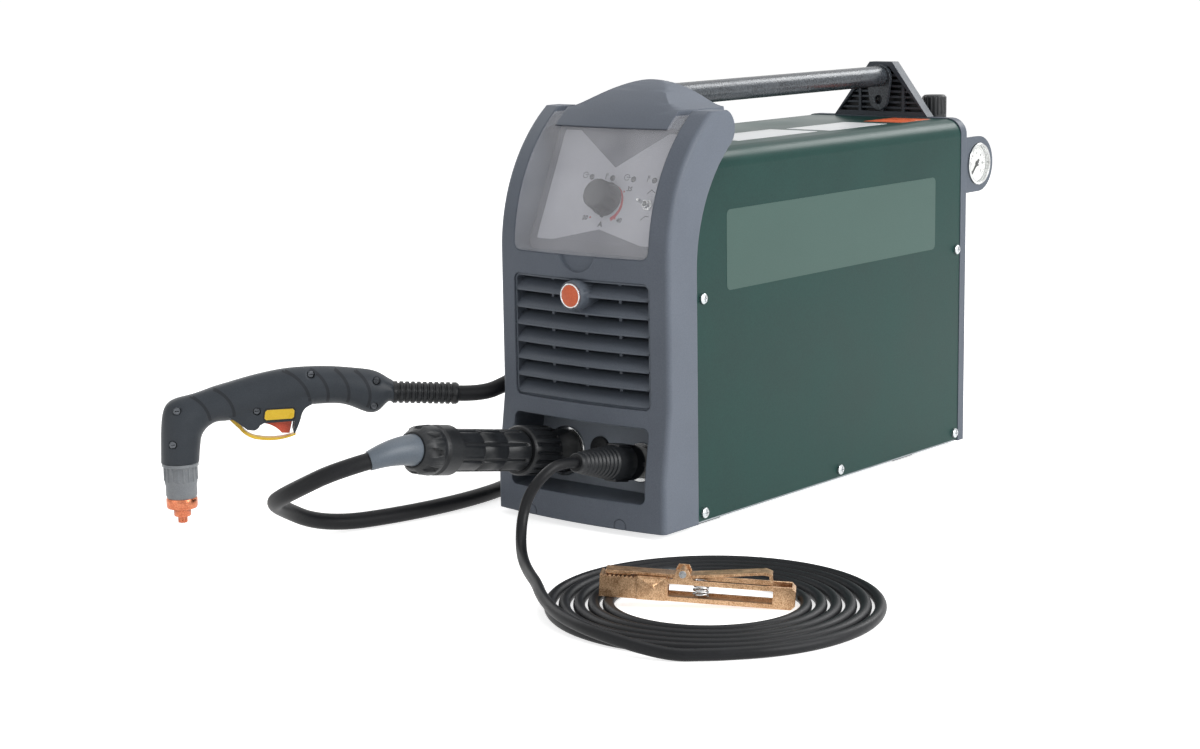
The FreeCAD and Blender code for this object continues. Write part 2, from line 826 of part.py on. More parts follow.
def work_socket():
    bore = work_pin_r + running_gap
    body = turned([(bore, -24), (work_socket_r, -24), (work_socket_r, 0), (work_flange_r, 0),
                   (work_flange_r, flange_thick - 0.6), (work_flange_r - 0.6, flange_thick),
                   (bore, flange_thick)], (work_socket_x, 0, 0))
    return tilted(body, plate_origin, plate_tilt)


def remote_cap():
    body = turned([(0, -8), (remote_cap_r - 2, -8), (remote_cap_r - 2, 0), (remote_cap_r, 0),
                   (remote_cap_r, 1.6), (remote_cap_r - 1, 2.4), (3.5, 2.4), (3.0, 1.6),
                   (0, 1.6)], (remote_cap_x, remote_cap_y, 0))
    return tilted(body, plate_origin, plate_tilt)


def pan_head(shank_r, head_r, shank):
    """A pan-head screw, head up, its seat on Z 0."""
    screw = turned([(0, -shank), (shank_r, -shank), (shank_r, 0), (head_r, 0),
                    (head_r, 0.5 * head_r), (0.7 * head_r, 0.72 * head_r), (0, 0.78 * head_r)])
    slots = [box(-0.55 * head_r, 0.55 * head_r, -0.4, 0.4, 0.35 * head_r, head_r),
             box(-0.4, 0.4, -0.55 * head_r, 0.55 * head_r, 0.35 * head_r, head_r)]
    return screw.cut(slots)


def plug_ring():
    ring = turned([(plug_bore, flange_thick + 0.4), (19, flange_thick + 0.4), (19, 29),
                   (plug_ring_r, 31), (plug_ring_r, 64), (plug_ring_r - 1.5, 65.8),
                   (plug_bore, 65.8)])
    grooves = []
    for i in range(plug_ring_grooves):
        a = 2 * math.pi * i / plug_ring_grooves
        grooves.append(rod((plug_ring_r * math.cos(a), plug_ring_r * math.sin(a), 33),
                           (0, 0, 1), 1.5, 27))
    ring = ring.cut(grooves)
    ring.translate(Vec(torch_socket_x, 0, 0))
    return tilted(ring, plate_origin, plate_tilt)


def plug_body():
    r = plug_body_r
    body = turned([(0, torch_spigot_end + 0.4), (torch_spigot_r, torch_spigot_end + 0.4),
                   (torch_spigot_r, 66), (r - 1, 66), (r, 67.5), (r, 94), (r - 1.2, 95),
                   (r - 1.2, 97), (r, 98), (r, 124), (r - 1.2, 125), (r - 1.2, 127), (r, 128),
                   (r, plug_nut_start), (0, plug_nut_start)])
    grooves = []
    for i in range(plug_body_grooves):
        groove = box(r - 1.3, r + 2, -1.4, 1.4, 72, plug_nut_start - 4)
        groove.rotate(Vec(0, 0, 0), Vec(0, 0, 1), 360.0 * (i + 0.5) / plug_body_grooves)
        grooves.append(groove)
    body = body.cut(grooves)
    body.translate(Vec(torch_socket_x, 0, 0))
    return tilted(body, plate_origin, plate_tilt)


def plug_nut():
    r = plug_nut_r
    z0, z1 = plug_nut_start, plug_nut_end
    nut = turned([(0, z0), (r, z0), (r, z0 + 16), (r - 1.5, z0 + 18), (r - 1.5, z0 + 20),
                  (r, z0 + 22), (r - 1, z1 - 6), (r - 6, z1), (0, z1)])
    notches = []
    for i in range(plug_nut_notches):
        notch = prism([(r + 1, -2.2, z1 - 16), (r + 1, 2.2, z1 - 16), (r + 1, 4.2, z1 + 1),
                       (r + 1, -4.2, z1 + 1)], (-4.5, 0, 0))
        notch.rotate(Vec(0, 0, 0), Vec(0, 0, 1), 360.0 * i / plug_nut_notches)
        notches.append(notch)
    nut = nut.cut(notches)
    nut.translate(Vec(torch_socket_x, 0, 0))
    return tilted(nut, plate_origin, plate_tilt)


def plate_point(x, y, z):
    """A point given on the socket plate's own axes, in the unit's frame."""
    t = math.radians(plate_tilt)
    return Vec(x, plate_y + y * math.sin(t) - z * math.cos(t),
               plate_z + y * math.cos(t) + z * math.sin(t))


plate_normal = plate_point(0, 0, 1).sub(plate_point(0, 0, 0))


def circle_wire(centre, normal, radius):
    return Part.Wire([Part.Circle(centre, normal, radius).toShape()])


def plug_relief():
    start = plate_point(torch_socket_x, 0, plug_nut_end)
    end = vec(torch_lead_route[0])
    leave = vec(torch_lead_route[1]).sub(end)
    leave.normalize()
    bend = start + plate_normal * (0.5 * start.distanceToPoint(end))
    middle = start * 0.25 + bend * 0.5 + end * 0.25
    along = end.sub(start)
    rings = [circle_wire(start, plate_normal, relief_big_r),
             circle_wire(middle, along, 0.55 * relief_big_r + 0.45 * relief_small_r),
             circle_wire(end, leave, relief_small_r)]
    return Part.makeLoft(rings, True, False)


def work_plug():
    r = work_plug_r
    small = work_plug_small_r
    end = work_plug_length
    profile = [(0, -18), (work_pin_r, -18), (work_pin_r, flange_thick + 0.4),
               (r - 1.5, flange_thick + 0.4), (r - 1.5, 14), (r, 15), (r, 22), (r - 0.8, 23),
               (r - 0.8, 25), (r, 26), (r, 40)]
    rib_start, ribs, rib_pitch = 46.0, 9, 4.4
    for i in range(ribs):
        z = rib_start + i * rib_pitch
        share = (z - 40) / (end - 40)
        here = r + share * (small - r)
        profile += [(here, z), (here, z + 0.5 * rib_pitch), (here - 0.7, z + 0.6 * rib_pitch),
                    (here - 0.7, z + 0.9 * rib_pitch)]
    profile += [(small, end - 1), (small - 0.8, end), (0, end)]
    plug = turned(profile)
    pads = []
    for side in (0, 180):
        pad = box(-6, 6, r - 1.4, r + 0.7, 24, 42)
        pad.rotate(Vec(0, 0, 0), Vec(0, 0, 1), side)
        pads.append(pad)
    plug = plug.fuse(pads).removeSplitter()
    plug.translate(Vec(work_socket_x, 0, 0))
    return tilted(plug, plate_origin, plate_tilt)


def u_section(x, z_top, r, y0, y1, z0):
    """A block with two round upper corners, open or closed sheets are cut from it."""
    return rounded_block(-x, x, y0, y1, z0 - 2 * r, z_top, r).common(
        box(-x - 1, x + 1, y0, y1, z0, z_top + 1))


def case_screw_places():
    """Side screws of the cover, as (y, z)."""
    return [(-187.5, 198.4), (-187.5, 14.0), (21.2, 14.0), (225.0, 14.0), (225.0, 196.4)]


def side_cover():
    outer = u_section(cover_half, case_top_z, case_corner_r, -200, case_rear_y - seat_gap,
                      cover_low_z)
    inner = u_section(cover_half - sheet, case_top_z - sheet, case_corner_r - sheet, -201,
                      case_rear_y + 1, cover_low_z - 1)
    beyond = half_width + 8
    skin = outer.cut(inner).cut(side_band(-beyond, beyond, seat_gap, 0))
    holes = []
    for y, z in case_screw_places():
        holes.append(rod((-beyond, y, z), (1, 0, 0), case_screw_r, 2 * beyond))
    return skin.cut(holes)


def case_screws():
    """The pan-head screws of the cover, then the two of the socket plate."""
    screws = []
    for y, z in case_screw_places():
        for side in (-1, 1):
            screw = pan_head(case_screw_r, case_screw_head_r, 7)
            screw.Placement = FreeCAD.Placement(Vec(side * cover_half, y, z),
                                                Rot(Vec(0, 0, 1), Vec(side, 0, 0)))
            screws.append(screw)
    for x, y in plate_screw_places:
        screw = pan_head(plate_screw_r, plate_screw_head_r, 6)
        screw.translate(Vec(x, y, 0))
        screws.append(tilted(screw, plate_origin, plate_tilt))
    return Part.makeCompound(screws)


def base_tray():
    half = cover_half - sheet - seat_gap
    y0, y1 = bezel_back_y + 2, rear_panel_y - seat_gap
    tray = box(-half, half, y0, y1, floor_gap, floor_gap + sheet)
    for side in (-1, 1):
        x0, x1 = sorted((side * half, side * (half - sheet)))
        tray = tray.fuse(box(x0, x1, y0, y1, floor_gap, floor_gap + tray_flange))
    posts = [rod((x, y, floor_gap), (0, 0, 1), 4, board_z - floor_gap) for x, y in post_places]
    bores = []
    for y, z in case_screw_places():
        if z < floor_gap + tray_flange:
            bores.append(rod((-half_width, y, z), (1, 0, 0), case_screw_r, unit_width))
    return fused([tray] + posts).cut(bores)


def rubber_feet():
    feet = []
    for y in foot_places:
        for x in (-foot_x, foot_x):
            foot = rounded_block(-foot_width / 2, foot_width / 2, -foot_length / 2,
                                 foot_length / 2, 0, floor_gap, 2)
            foot.translate(Vec(x, y, 0))
            feet.append(foot)
    return Part.makeCompound(feet)


def rear_frame():
    y0, y1 = case_rear_y, case_rear_y + rear_frame_depth
    outer = u_section(half_width, case_top_z + 1, case_corner_r, y0, y1, floor_gap)
    t = rear_frame_bar
    inner = u_section(half_width - t, case_top_z + 1 - t, case_corner_r - t, y0 - 1, y1 + 1,
                      floor_gap + t)
    edges = []
    ring = outer.cut(inner)
    for edge in ring.Edges:
        ends = edge.BoundBox
        if ends.YLength < 0.01 and abs(ends.YMax - y1) < 0.01:
            edges.append(edge)
    return ring.makeChamfer(1.2, edges)


def fan_opening(y):
    """Ring slots of the fan guard, between four spokes."""
    slots = []
    r = fan_guard_first_r
    while r + fan_guard_slot <= fan_bore_r:
        ring = rod((fan_x, y, fan_z), (0, 1, 0), r + fan_guard_slot, 6)
        slots.append(ring.cut(rod((fan_x, y - 1, fan_z), (0, 1, 0), r, 8)))
        r += fan_guard_slot + fan_guard_wire
    rings = fused(slots)
    spokes = []
    for turn in (45, 135):
        spoke = box(-50, 50, y - 1, y + 7, -1.5, 1.5)
        spoke.rotate(Vec(0, 0, 0), Vec(0, 1, 0), turn)
        spoke.translate(Vec(fan_x, 0, fan_z))
        spokes.append(spoke)
    return rings.cut(spokes)


def rear_panel():
    half = cover_half - sheet - seat_gap
    panel = u_section(half, case_top_z - sheet - seat_gap, case_corner_r - sheet, rear_panel_y,
                      rear_panel_y + sheet, floor_gap + sheet + 0.2)
    cuts = [
        fan_opening(rear_panel_y - 2),
        box(mains_x - 13.5, mains_x + 13.5, 220, 240, mains_z - 9.5, mains_z + 9.5),
        rod((mains_x, 220, gland_z), (0, 1, 0), gland_r, 30),
        rod((regulator_x, 220, regulator_z), (0, 1, 0), regulator_nipple_r, 30),
    ]
    vents = []
    for i in range(6):
        z = 165 + 8 * i
        vents.append(box(-70, -14, 220, 240, z, z + 3.2))
    return panel.cut(cuts + vents)


def fan_frame():
    half = fan_size / 2
    y1 = rear_panel_y - seat_gap
    y0 = y1 - fan_depth
    body = rounded_block(fan_x - half, fan_x + half, y0, y1, fan_z - half, fan_z + half, 4)
    body = body.cut(rod((fan_x, y0 - 1, fan_z), (0, 1, 0), fan_bore_r + 1, fan_depth + 2))
    hub = rod((fan_x, y0, fan_z), (0, 1, 0), fan_hub_r, 3)
    axle = rod((fan_x, y0, fan_z), (0, 1, 0), fan_axle_r, fan_depth - 5)
    struts = []
    for turn in (0, 90):
        strut = box(-fan_bore_r - 2, fan_bore_r + 2, y0, y0 + 2.5, -2, 2)
        strut.rotate(Vec(0, 0, 0), Vec(0, 1, 0), turn + 30)
        strut.translate(Vec(fan_x, 0, fan_z))
        struts.append(strut)
    return fused([body, hub, axle] + struts)


def fan_rotor():
    y0 = rear_panel_y - seat_gap - fan_depth + 4
    depth = fan_depth - 7
    hub = rod((fan_x, y0, fan_z), (0, 1, 0), fan_hub_r, depth)
    blades = []
    for i in range(fan_blades):
        blade = box(0, fan_bore_r - 1.5, -depth / 2 - 2, depth / 2 + 2, -0.8, 0.8)
        blade.rotate(Vec(0, 0, 0), Vec(1, 0, 0), 38)
        blade.rotate(Vec(0, 0, 0), Vec(0, 1, 0), 360.0 * i / fan_blades)
        blade.translate(Vec(fan_x, y0 + depth / 2, fan_z))
        blades.append(blade)
    rotor = fused([hub] + blades)
    limit = rod((fan_x, y0, fan_z), (0, 1, 0), fan_bore_r - 1, depth)
    bore = rod((fan_x, y0 - 1, fan_z), (0, 1, 0), fan_axle_r + running_gap, depth + 2)
    return rotor.common(limit).cut(bore)


def mains_switch():
    y = rear_panel_y + sheet
    flange = rounded_block(mains_x - 16, mains_x + 16, y, y + 2, mains_z - 12, mains_z + 12, 2)
    body = box(mains_x - 13.5, mains_x + 13.5, y - 22, y, mains_z - 9.5, mains_z + 9.5)
    well = box(mains_x - rocker_half_x - 0.4, mains_x + rocker_half_x + 0.4, y - 10, y + 3,
               mains_z - 8.2, mains_z + 8.2)
    whole = fused([flange, body]).cut(well)
    axle = rod((mains_x - 12, y - 4, mains_z), (1, 0, 0), rocker_axle_r, 24)
    return whole.fuse(axle)


def mains_rocker():
    y = rear_panel_y + sheet
    half = 7.4
    points = [(y - 6, -half + 1.5), (y + 1.2, -half), (y + 2.6, -half + 0.4), (y + 0.6, 0),
              (y + 2.6, half - 0.4), (y + 1.2, half), (y - 6, half - 1.5)]
    rocker = side_prism([(a, mains_z + b) for a, b in points], mains_x - rocker_half_x,
                        mains_x + rocker_half_x)
    return rocker.cut(rod((mains_x - 20, y - 4, mains_z), (1, 0, 0),
                          rocker_axle_r + running_gap, 40))


def mains_gland():
    y = rear_panel_y + sheet
    hexagon = Part.Face(Part.makePolygon([
        Vec(12 * math.cos(math.radians(a)), 12 * math.sin(math.radians(a)), 0)
        for a in range(0, 361, 60)])).extrude(Vec(0, 0, 6))
    body = turned([(5, -9), (gland_r, -9), (gland_r, 6), (10.5, 6), (10.5, 15), (8.5, 19),
                   (5, 19)])
    nut = rod((0, 0, -sheet - 5), (0, 0, 1), 12, 5).cut(rod((0, 0, -sheet - 6), (0, 0, 1),
                                                            gland_r, 7))
    whole = fused([body, hexagon.cut(rod((0, 0, -1), (0, 0, 1), gland_r, 8)), nut])
    whole.Placement = FreeCAD.Placement(Vec(mains_x, y, gland_z),
                                        Rot(Vec(0, 0, 1), Vec(0, 1, 0)))
    return whole


def heat_sink():
    z0 = board_z + board_thick
    base = box(-35, 35, -110, 150, z0, z0 + 8)
    fins = [box(-35 + 5.66 * i, -33 + 5.66 * i, -110, 150, z0 + 8, z0 + 62) for i in range(13)]
    return fused([base] + fins)


def power_board():
    board = box(-82, 82, -150, 190, board_z, board_z + board_thick)
    z0 = board_z + board_thick
    core = box(-78, -42, 10, 66, z0, z0 + 42).cut(box(-79, -41, 24, 52, z0 + 12, z0 + 30))
    winding = box(-75, -45, 25, 51, z0, z0 + 45)
    cans = [rod((60, y, z0), (0, 0, 1), 14, 45) for y in (-100, -66, -32)]
    return fused([board, core, winding] + cans)


def lattice_outline(inset):
    """The bracket's side: an A with a cut-off top, as (x, z)."""
    low = rear_frame_top_z + inset
    high = bracket_top_z - inset
    wide = bracket_half_low - inset * 1.15
    narrow = bracket_half_high - inset * 0.75
    return [(-wide, low), (wide, low), (narrow, high), (-narrow, high)]


def rear_bracket():
    y0, y1 = case_rear_y, case_rear_y + bracket_depth
    frame = front_prism(lattice_outline(0), y0, y1)
    window = front_prism(lattice_outline(bracket_flange), y0 - 1, y1 + 1)
    bars = []
    for x in (-bracket_bar_pitch, 0, bracket_bar_pitch):
        bars.append(box(x - 1.5, x + 1.5, y0 + 1.5, y1 - 1, rear_frame_top_z, bracket_top_z))
    z = rear_frame_top_z + bracket_flange + 2.4
    while z < bracket_top_z - bracket_flange:
        bars.append(box(-bracket_half_low, bracket_half_low, y0 + 2.5, y1 - 2.5, z, z + 2.2))
        z += bracket_louvre_pitch
    lattice = fused(bars).common(front_prism(lattice_outline(bracket_flange - 1), y0, y1))
    return fused([frame.cut(window), lattice])


def handle_tube():
    length = handle_end_y - handle_start_y
    outer = rod((0, handle_start_y, handle_z), (0, 1, 0), handle_r, length)
    return outer.cut(rod((0, handle_start_y - 1, handle_z), (0, 1, 0), handle_r - 2,
                         length + 2))


def handle_lug():
    y0 = handle_end_y
    top = Vec(0, y0, handle_z - 2)
    low = Vec(0, y0, lug_hole_z)
    top_r, low_r = 13.4, 10.0
    spread = top.z - low.z
    lean = math.asin((top_r - low_r) / spread)
    sides = []
    for centre, r in ((top, top_r), (low, low_r)):
        sides.append((centre.x + r * math.cos(lean), centre.z - r * math.sin(lean)))
    outline = [sides[0], sides[1], (-sides[1][0], sides[1][1]), (-sides[0][0], sides[0][1])]
    plate = fused([
        rod((0, y0, top.z), (0, 1, 0), top_r, lug_thick),
        rod((0, y0, low.z), (0, 1, 0), low_r, lug_thick),
        front_prism(outline, y0, y0 + lug_thick),
    ])
    return plate.cut(rod((0, y0 - 1, lug_hole_z), (0, 1, 0), lug_hole_r, lug_thick + 2))


def regulator_body():
    x, y, z = regulator_x, regulator_y, regulator_z
    block = rounded_block(x - 18, x + 18, y - 16, y + 16, z - 20, z + 22, 4)
    bonnet = turned([(0, 22), (16, 22), (15, 27), (13, 40), (11, 42), (regulator_stem_r, 42),
                     (regulator_stem_r, 60), (0, 60)], (x, y, z))
    nipple_length = y - 16 - rear_panel_y
    nipple = rod((x, y - 15, z), (0, -1, 0), regulator_nipple_r, nipple_length + 6)
    collar = rod((x, y - 15, z), (0, -1, 0), regulator_nipple_r + 5,
                 y - 15 - rear_panel_y - sheet)
    gauge_port = rod((x + 17, y, z), (1, 0, 0), 6, gauge_back_x - x - 17)
    inlet = rod((x - 17, y, z), (-1, 0, 0), 10, 12)
    body = fused([block, bonnet, nipple, collar, gauge_port, inlet])
    return body.cut(rod((x - 30, y, z), (1, 0, 0), inlet_bore_r, inlet_depth))


def regulator_bowl():
    z = regulator_z - 20
    return turned([(0, 0), (15, 0), (15, -6), (16.5, -7), (16.5, -10), (14.5, -12),
                   (14, -34), (11, -39), (4, -41), (4, -45), (0, -45)],
                  (regulator_x, regulator_y, z))


def regulator_knob():
    z0, z1 = 44.0, 66.0
    knob = turned([(regulator_stem_r + running_gap, z0), (12, z0), (12, z1 - 2), (10, z1),
                   (0, z1), (0, 60.5), (regulator_stem_r + running_gap, 60.5)])
    grooves = []
    for i in range(16):
        a = 2 * math.pi * i / 16
        grooves.append(rod((12.4 * math.cos(a), 12.4 * math.sin(a), z0 + 3), (0, 0, 1), 1.2,
                           30))
    knob = knob.cut(grooves)
    knob.translate(Vec(regulator_x, regulator_y, regulator_z))
    return knob


def gauge_cheek():
    y0 = case_rear_y + rear_frame_depth
    r = cheek_r
    y, z = gauge_y, regulator_z
    plate = fused([
        rod((cheek_x, y, z), (1, 0, 0), r, cheek_thick),
        box(cheek_x, cheek_x + cheek_thick, y0, y, z - r, z + r),
        box(cheek_x - 9, cheek_x + cheek_thick, y0, y0 + 2, z - r, z + r),
    ])
    plate = plate.common(box(0, unit_width, y0, y + r + 1, 0, unit_height))
    return plate.cut(rod((cheek_x - 1, y, z), (1, 0, 0), gauge_r + 0.3, cheek_thick + 2))


def gauge_case():
    h = gauge_front_x - gauge_back_x
    profile = [(0, 0), (gauge_r - 3, 0), (gauge_r - 1, 3), (gauge_r - 1, h - 5),
               (gauge_r, h - 4.5), (gauge_r, h - 0.6), (gauge_r - 0.6, h), (gauge_r - 2.4, h),
               (gauge_r - 2.4, h - 4.5), (0, h - 4.5)]
    case = turned(profile, (gauge_back_x, gauge_y, regulator_z), (1, 0, 0))
    stud = rod((gauge_front_x - 6, gauge_y, regulator_z), (1, 0, 0), gauge_stud_r, 4.2)
    return case.fuse(stud)


def gauge_needle():
    z0 = gauge_front_x - 4.5 + 0.6
    needle = prism([(0, -1.2, -5), (0, 1.2, -5), (0, 0.5, 15), (0, -0.5, 15)], (0.7, 0, 0))
    hub = rod((0, 0, 0), (1, 0, 0), 2.6, 1.2)
    needle = needle.fuse(hub).cut(rod((-1, 0, 0), (1, 0, 0), gauge_stud_r + running_gap, 4))
    needle.rotate(Vec(0, 0, 0), Vec(1, 0, 0), gauge_rest_angle)
    needle.translate(Vec(z0, gauge_y, regulator_z))
    return needle


def gauge_lens():
    return rod((gauge_front_x - 1.9, gauge_y, regulator_z), (1, 0, 0), gauge_r - 2.4, 1.5)


def torch_ring(inner, outer, half_w):
    """An ellipse across the torch, by its inner and outer point in the middle plane."""
    centre = (inner + outer) * 0.5
    curve = Part.Ellipse(outer, centre + Vec(0, half_w, 0), centre)
    return Part.Wire([curve.toShape()])


def torch_form(inset):
    """The elbow and handle in one, drawn along X with the nozzle's axis upright."""
    rings = []
    for s0, z0, s1, z1, half_w in torch_rings:
        if inset and not torch_hollow_span[0] < s1 < torch_hollow_span[1]:
            continue
        inner, outer = Vec(s0, 0, z0), Vec(s1, 0, z1)
        out = outer.sub(inner)
        out.normalize()
        rings.append(torch_ring(inner + out * inset, outer - out * inset, half_w - inset))
    return Part.makeLoft(rings, True, False)


def torch_guard():
    """The flat-sided housing under the handle, with the leg behind the trigger."""
    p = [Vec(s, 0, z) for s, z in (
        (43.0, 95.0), (50.9, 89.5), (61.0, 81.4), (66.6, 80.7), (71.8, 84.9), (75.2, 86.8),
        (102.2, 87.8), (100.6, 77.2), (101.6, 76.7), (108.4, 94.0), (117.0, 101.5),
        (117.0, 108.0), (44.0, 108.0))]
    edges = [
        line(p[0], p[1]), line(p[1], p[2]), line(p[2], p[3]),
        arc(p[3], Vec(69.9, 0, 82.3), p[4]), line(p[4], p[5]), line(p[5], p[6]),
        line(p[6], p[7]), line(p[7], p[8]), arc(p[8], Vec(105.4, 0, 84.9), p[9]),
        arc(p[9], Vec(111.6, 0, 98.6), p[10]), line(p[10], p[11]), line(p[11], p[12]),
        line(p[12], p[0]),
    ]
    side = Part.Face(Part.Wire(edges)).extrude(Vec(0, 2 * guard_rear_w, 0))
    side.translate(Vec(0, -guard_rear_w, 0))
    plan = prism([(guard_front_s, -guard_front_w, 60), (guard_rear_s, -guard_rear_w, 60),
                  (guard_rear_s, guard_rear_w, 60), (guard_front_s, guard_front_w, 60)],
                 (0, 0, 60))
    return side.common(plan)


def torch_place(shape):
    """From the torch's own axes to where it lies."""
    shape.Placement = FreeCAD.Placement(
        Vec(torch_tip_x, torch_tip_y, 0), Rot(Vec(0, 0, 1), torch_turn)
    ).multiply(shape.Placement)
    return shape


def torch_shell(side):
    outer = torch_form(0).fuse(torch_guard())
    bosses = [rod((s, -20, z), (0, 1, 0), torch_boss_r, 40) for s, z, seat in torch_screw_places]
    cuts = [torch_form(torch_wall).cut(bosses), torch_trigger_slot()]
    for s, z, seat in torch_screw_places:
        cuts.append(rod((s, -20, z), (0, 1, 0), torch_screw_r, 28.2))
        cuts.append(rod((s, -30, z), (0, 1, 0), torch_screw_head_r + 0.2, 30 - seat))
    half = box(-40, 260, 0, 40, 0, 160) if side > 0 else box(-40, 260, -40, 0, 0, 160)
    shell = outer.common(half).cut(cuts)
    pins = [
        rod((trigger_s, -9, trigger_z), (0, 1, 0), trigger_pin_r, 18),
        rod((safety_s, -9, safety_z), (0, 1, 0), trigger_pin_r, 18),
    ]
    pins = [pin.common(half).common(outer) for pin in pins]
    return torch_place(fused([shell] + pins))


def torch_trigger_slot():
    wide = trigger_half_w + slot_gap
    narrow = safety_half_w + slot_gap
    return box(trigger_front_s - 0.8, trigger_rear_s + 2.0, -wide, wide, 80,
               trigger_z + 5.5).fuse(
        box(safety_s - 4.3, trigger_front_s, -narrow, narrow, 60, safety_z + 3.2))


def torch_trigger():
    """The trigger hangs on a pin inside the guard, with its toe on the safety lever."""
    front, rear = trigger_front_s, trigger_rear_s
    p = [Vec(s, -trigger_half_w, z) for s, z in (
        (front, 91.0), (front, 85.6), (90.6, 76.3), (97.4, 75.8), (rear, 86.2), (rear, 89.5),
        (84.0, 91.0))]
    edges = [
        line(p[0], p[1]), arc(p[1], Vec(84.6, -trigger_half_w, 82.0), p[2]), line(p[2], p[3]),
        line(p[3], p[4]), line(p[4], p[5]), line(p[5], p[6]), line(p[6], p[0]),
    ]
    body = Part.Face(Part.Wire(edges)).extrude(Vec(0, 2 * trigger_half_w, 0))
    knuckle = rod((trigger_s, -trigger_half_w, trigger_z), (0, 1, 0), 3.2,
                  2 * trigger_half_w)
    bore = rod((trigger_s, -20, trigger_z), (0, 1, 0), trigger_pin_r + running_gap, 40)
    return torch_place(body.fuse(knuckle).cut(bore))


def torch_safety():
    """The curved lever under the trigger, hinged at the front of the guard."""
    p = [Vec(s, 0, z) for s, z in (
        (45.4, 90.2), (54.3, 80.8), (70.8, 70.9), (102.8, 73.6), (102.8, 75.2), (71.4, 73.3),
        (56.8, 82.4), (49.6, 93.2))]
    edges = [
        line(p[0], p[1]), arc(p[1], Vec(61.3, 0, 74.3), p[2]), arc(p[2], Vec(87, 0, 69.9), p[3]),
        line(p[3], p[4]), arc(p[4], Vec(87, 0, 72.1), p[5]), arc(p[5], Vec(63.0, 0, 76.3), p[6]),
        line(p[6], p[7]), line(p[7], p[0]),
    ]
    strip = Part.Face(Part.Wire(edges)).extrude(Vec(0, 2 * safety_half_w, 0))
    strip.translate(Vec(0, -safety_half_w, 0))
    knuckle = rod((safety_s, -safety_half_w, safety_z), (0, 1, 0), 2.7, 2 * safety_half_w)
    bore = rod((safety_s, -20, safety_z), (0, 1, 0), trigger_pin_r + running_gap, 40)
    return torch_place(strip.fuse(knuckle).cut(bore))


def torch_screws():
    screws = []
    for s, z, seat in torch_screw_places:
        r = torch_screw_head_r
        screw = turned([(0, -seat - 8), (torch_screw_r, -seat - 8), (torch_screw_r, 0), (r, 0),
                        (r, 1.6), (r - 0.6, 2.2), (0, 2.2)], (s, -seat, z), (0, -1, 0))
        slot = box(s - 1.8, s + 1.8, -seat - 3, -seat - 1.2, z - 0.4, z + 0.4)
        screws.append(screw.cut(slot))
    return torch_place(Part.makeCompound(screws))


def torch_cap():
    z = torch_head_low_z
    cap = turned([(0, 22.5), (12.6, 22.5), (13.6, 25), (13.6, 34), (14.2, 36), (14.2, 50),
                  (15.9, 51), (15.9, z - 0.4), (0, z - 0.4)], (torch_head_s, 0, 0))
    ribs = []
    for i in range(18):
        rib = box(13.9, 14.8, -0.7, 0.7, 38, 50)
        rib.rotate(Vec(0, 0, 0), Vec(0, 0, 1), 20.0 * i)
        rib.translate(Vec(torch_head_s, 0, 0))
        ribs.append(rib)
    return torch_place(cap.fuse(ribs).removeSplitter())


def torch_tip():
    tip = turned([(0.8, 0), (3.6, 0), (4.2, 0.8), (4.2, 5), (7.0, 6), (7.6, 7), (7.6, 12),
                  (13.0, 13.5), (13.6, 15), (13.6, 21.5), (13.0, 22.5), (0.8, 22.5)],
                 (torch_head_s, 0, 0))
    slots = []
    for i in range(8):
        slot = box(3.0, 6.0, -0.8, 0.8, -1, 3)
        slot.rotate(Vec(0, 0, 0), Vec(0, 0, 1), 45.0 * i)
        slot.translate(Vec(torch_head_s, 0, 0))
        slots.append(slot)
    return torch_place(tip.cut(slots))


def torch_relief():
    start = Vec(relief_start_s, 0, relief_start_z)
    along = Vec(relief_end_s, 0, relief_end_z).sub(start)
    length = along.Length
    profile = [(0, 0), (relief_r, 0)]
    z = 4.0
    pitch = 5.2
    while z + pitch < length - 2:
        profile += [(relief_r, z), (relief_r - 1.4, z + 0.7), (relief_r - 1.4, z + 1.9),
                    (relief_r, z + 2.6)]
        z += pitch
    profile += [(relief_r, length - 2), (relief_r - 1.2, length), (0, length)]
    shell_end_s = torch_rings[-1][0]
    inside = box(shell_end_s - 5, shell_end_s, -2 * relief_r, 2 * relief_r,
                 relief_start_z - 2 * relief_r, relief_start_z + 2 * relief_r)
    return torch_place(turned(profile, start, along).cut(inside))


def torch_point(s, w, z):
    a = math.radians(torch_turn)
    return Vec(torch_tip_x + s * math.cos(a) - w * math.sin(a),
               torch_tip_y + s * math.sin(a) + w * math.cos(a), z)


def arc_along(p0, t0, p1):
    """The arc from p0 to p1 that leaves p0 along t0."""
    chord = p1.sub(p0)
    along = Vec(chord)
    along.normalize()
    swing = t0.sub(along * t0.dot(along))
    if swing.Length < 1e-7:
        return line(p0, p1)
    swing.normalize()
    lean = math.acos(max(-1.0, min(1.0, t0.dot(along))))
    rise = chord.Length / 2 * math.tan(lean / 2)
    return arc(p0, p0.add(chord * 0.5).add(swing * rise), p1)


def tube_of(path, start, heading, radius, name):
    wire = Part.Wire(path)
    tube = wire.makePipeShell([circle_wire(start, heading, radius)], True, False)
    share = tube.Volume / (math.pi * radius ** 2 * wire.Length)
    print("   ", name, "length", round(wire.Length), "volume over section", round(share, 3))
    return tube


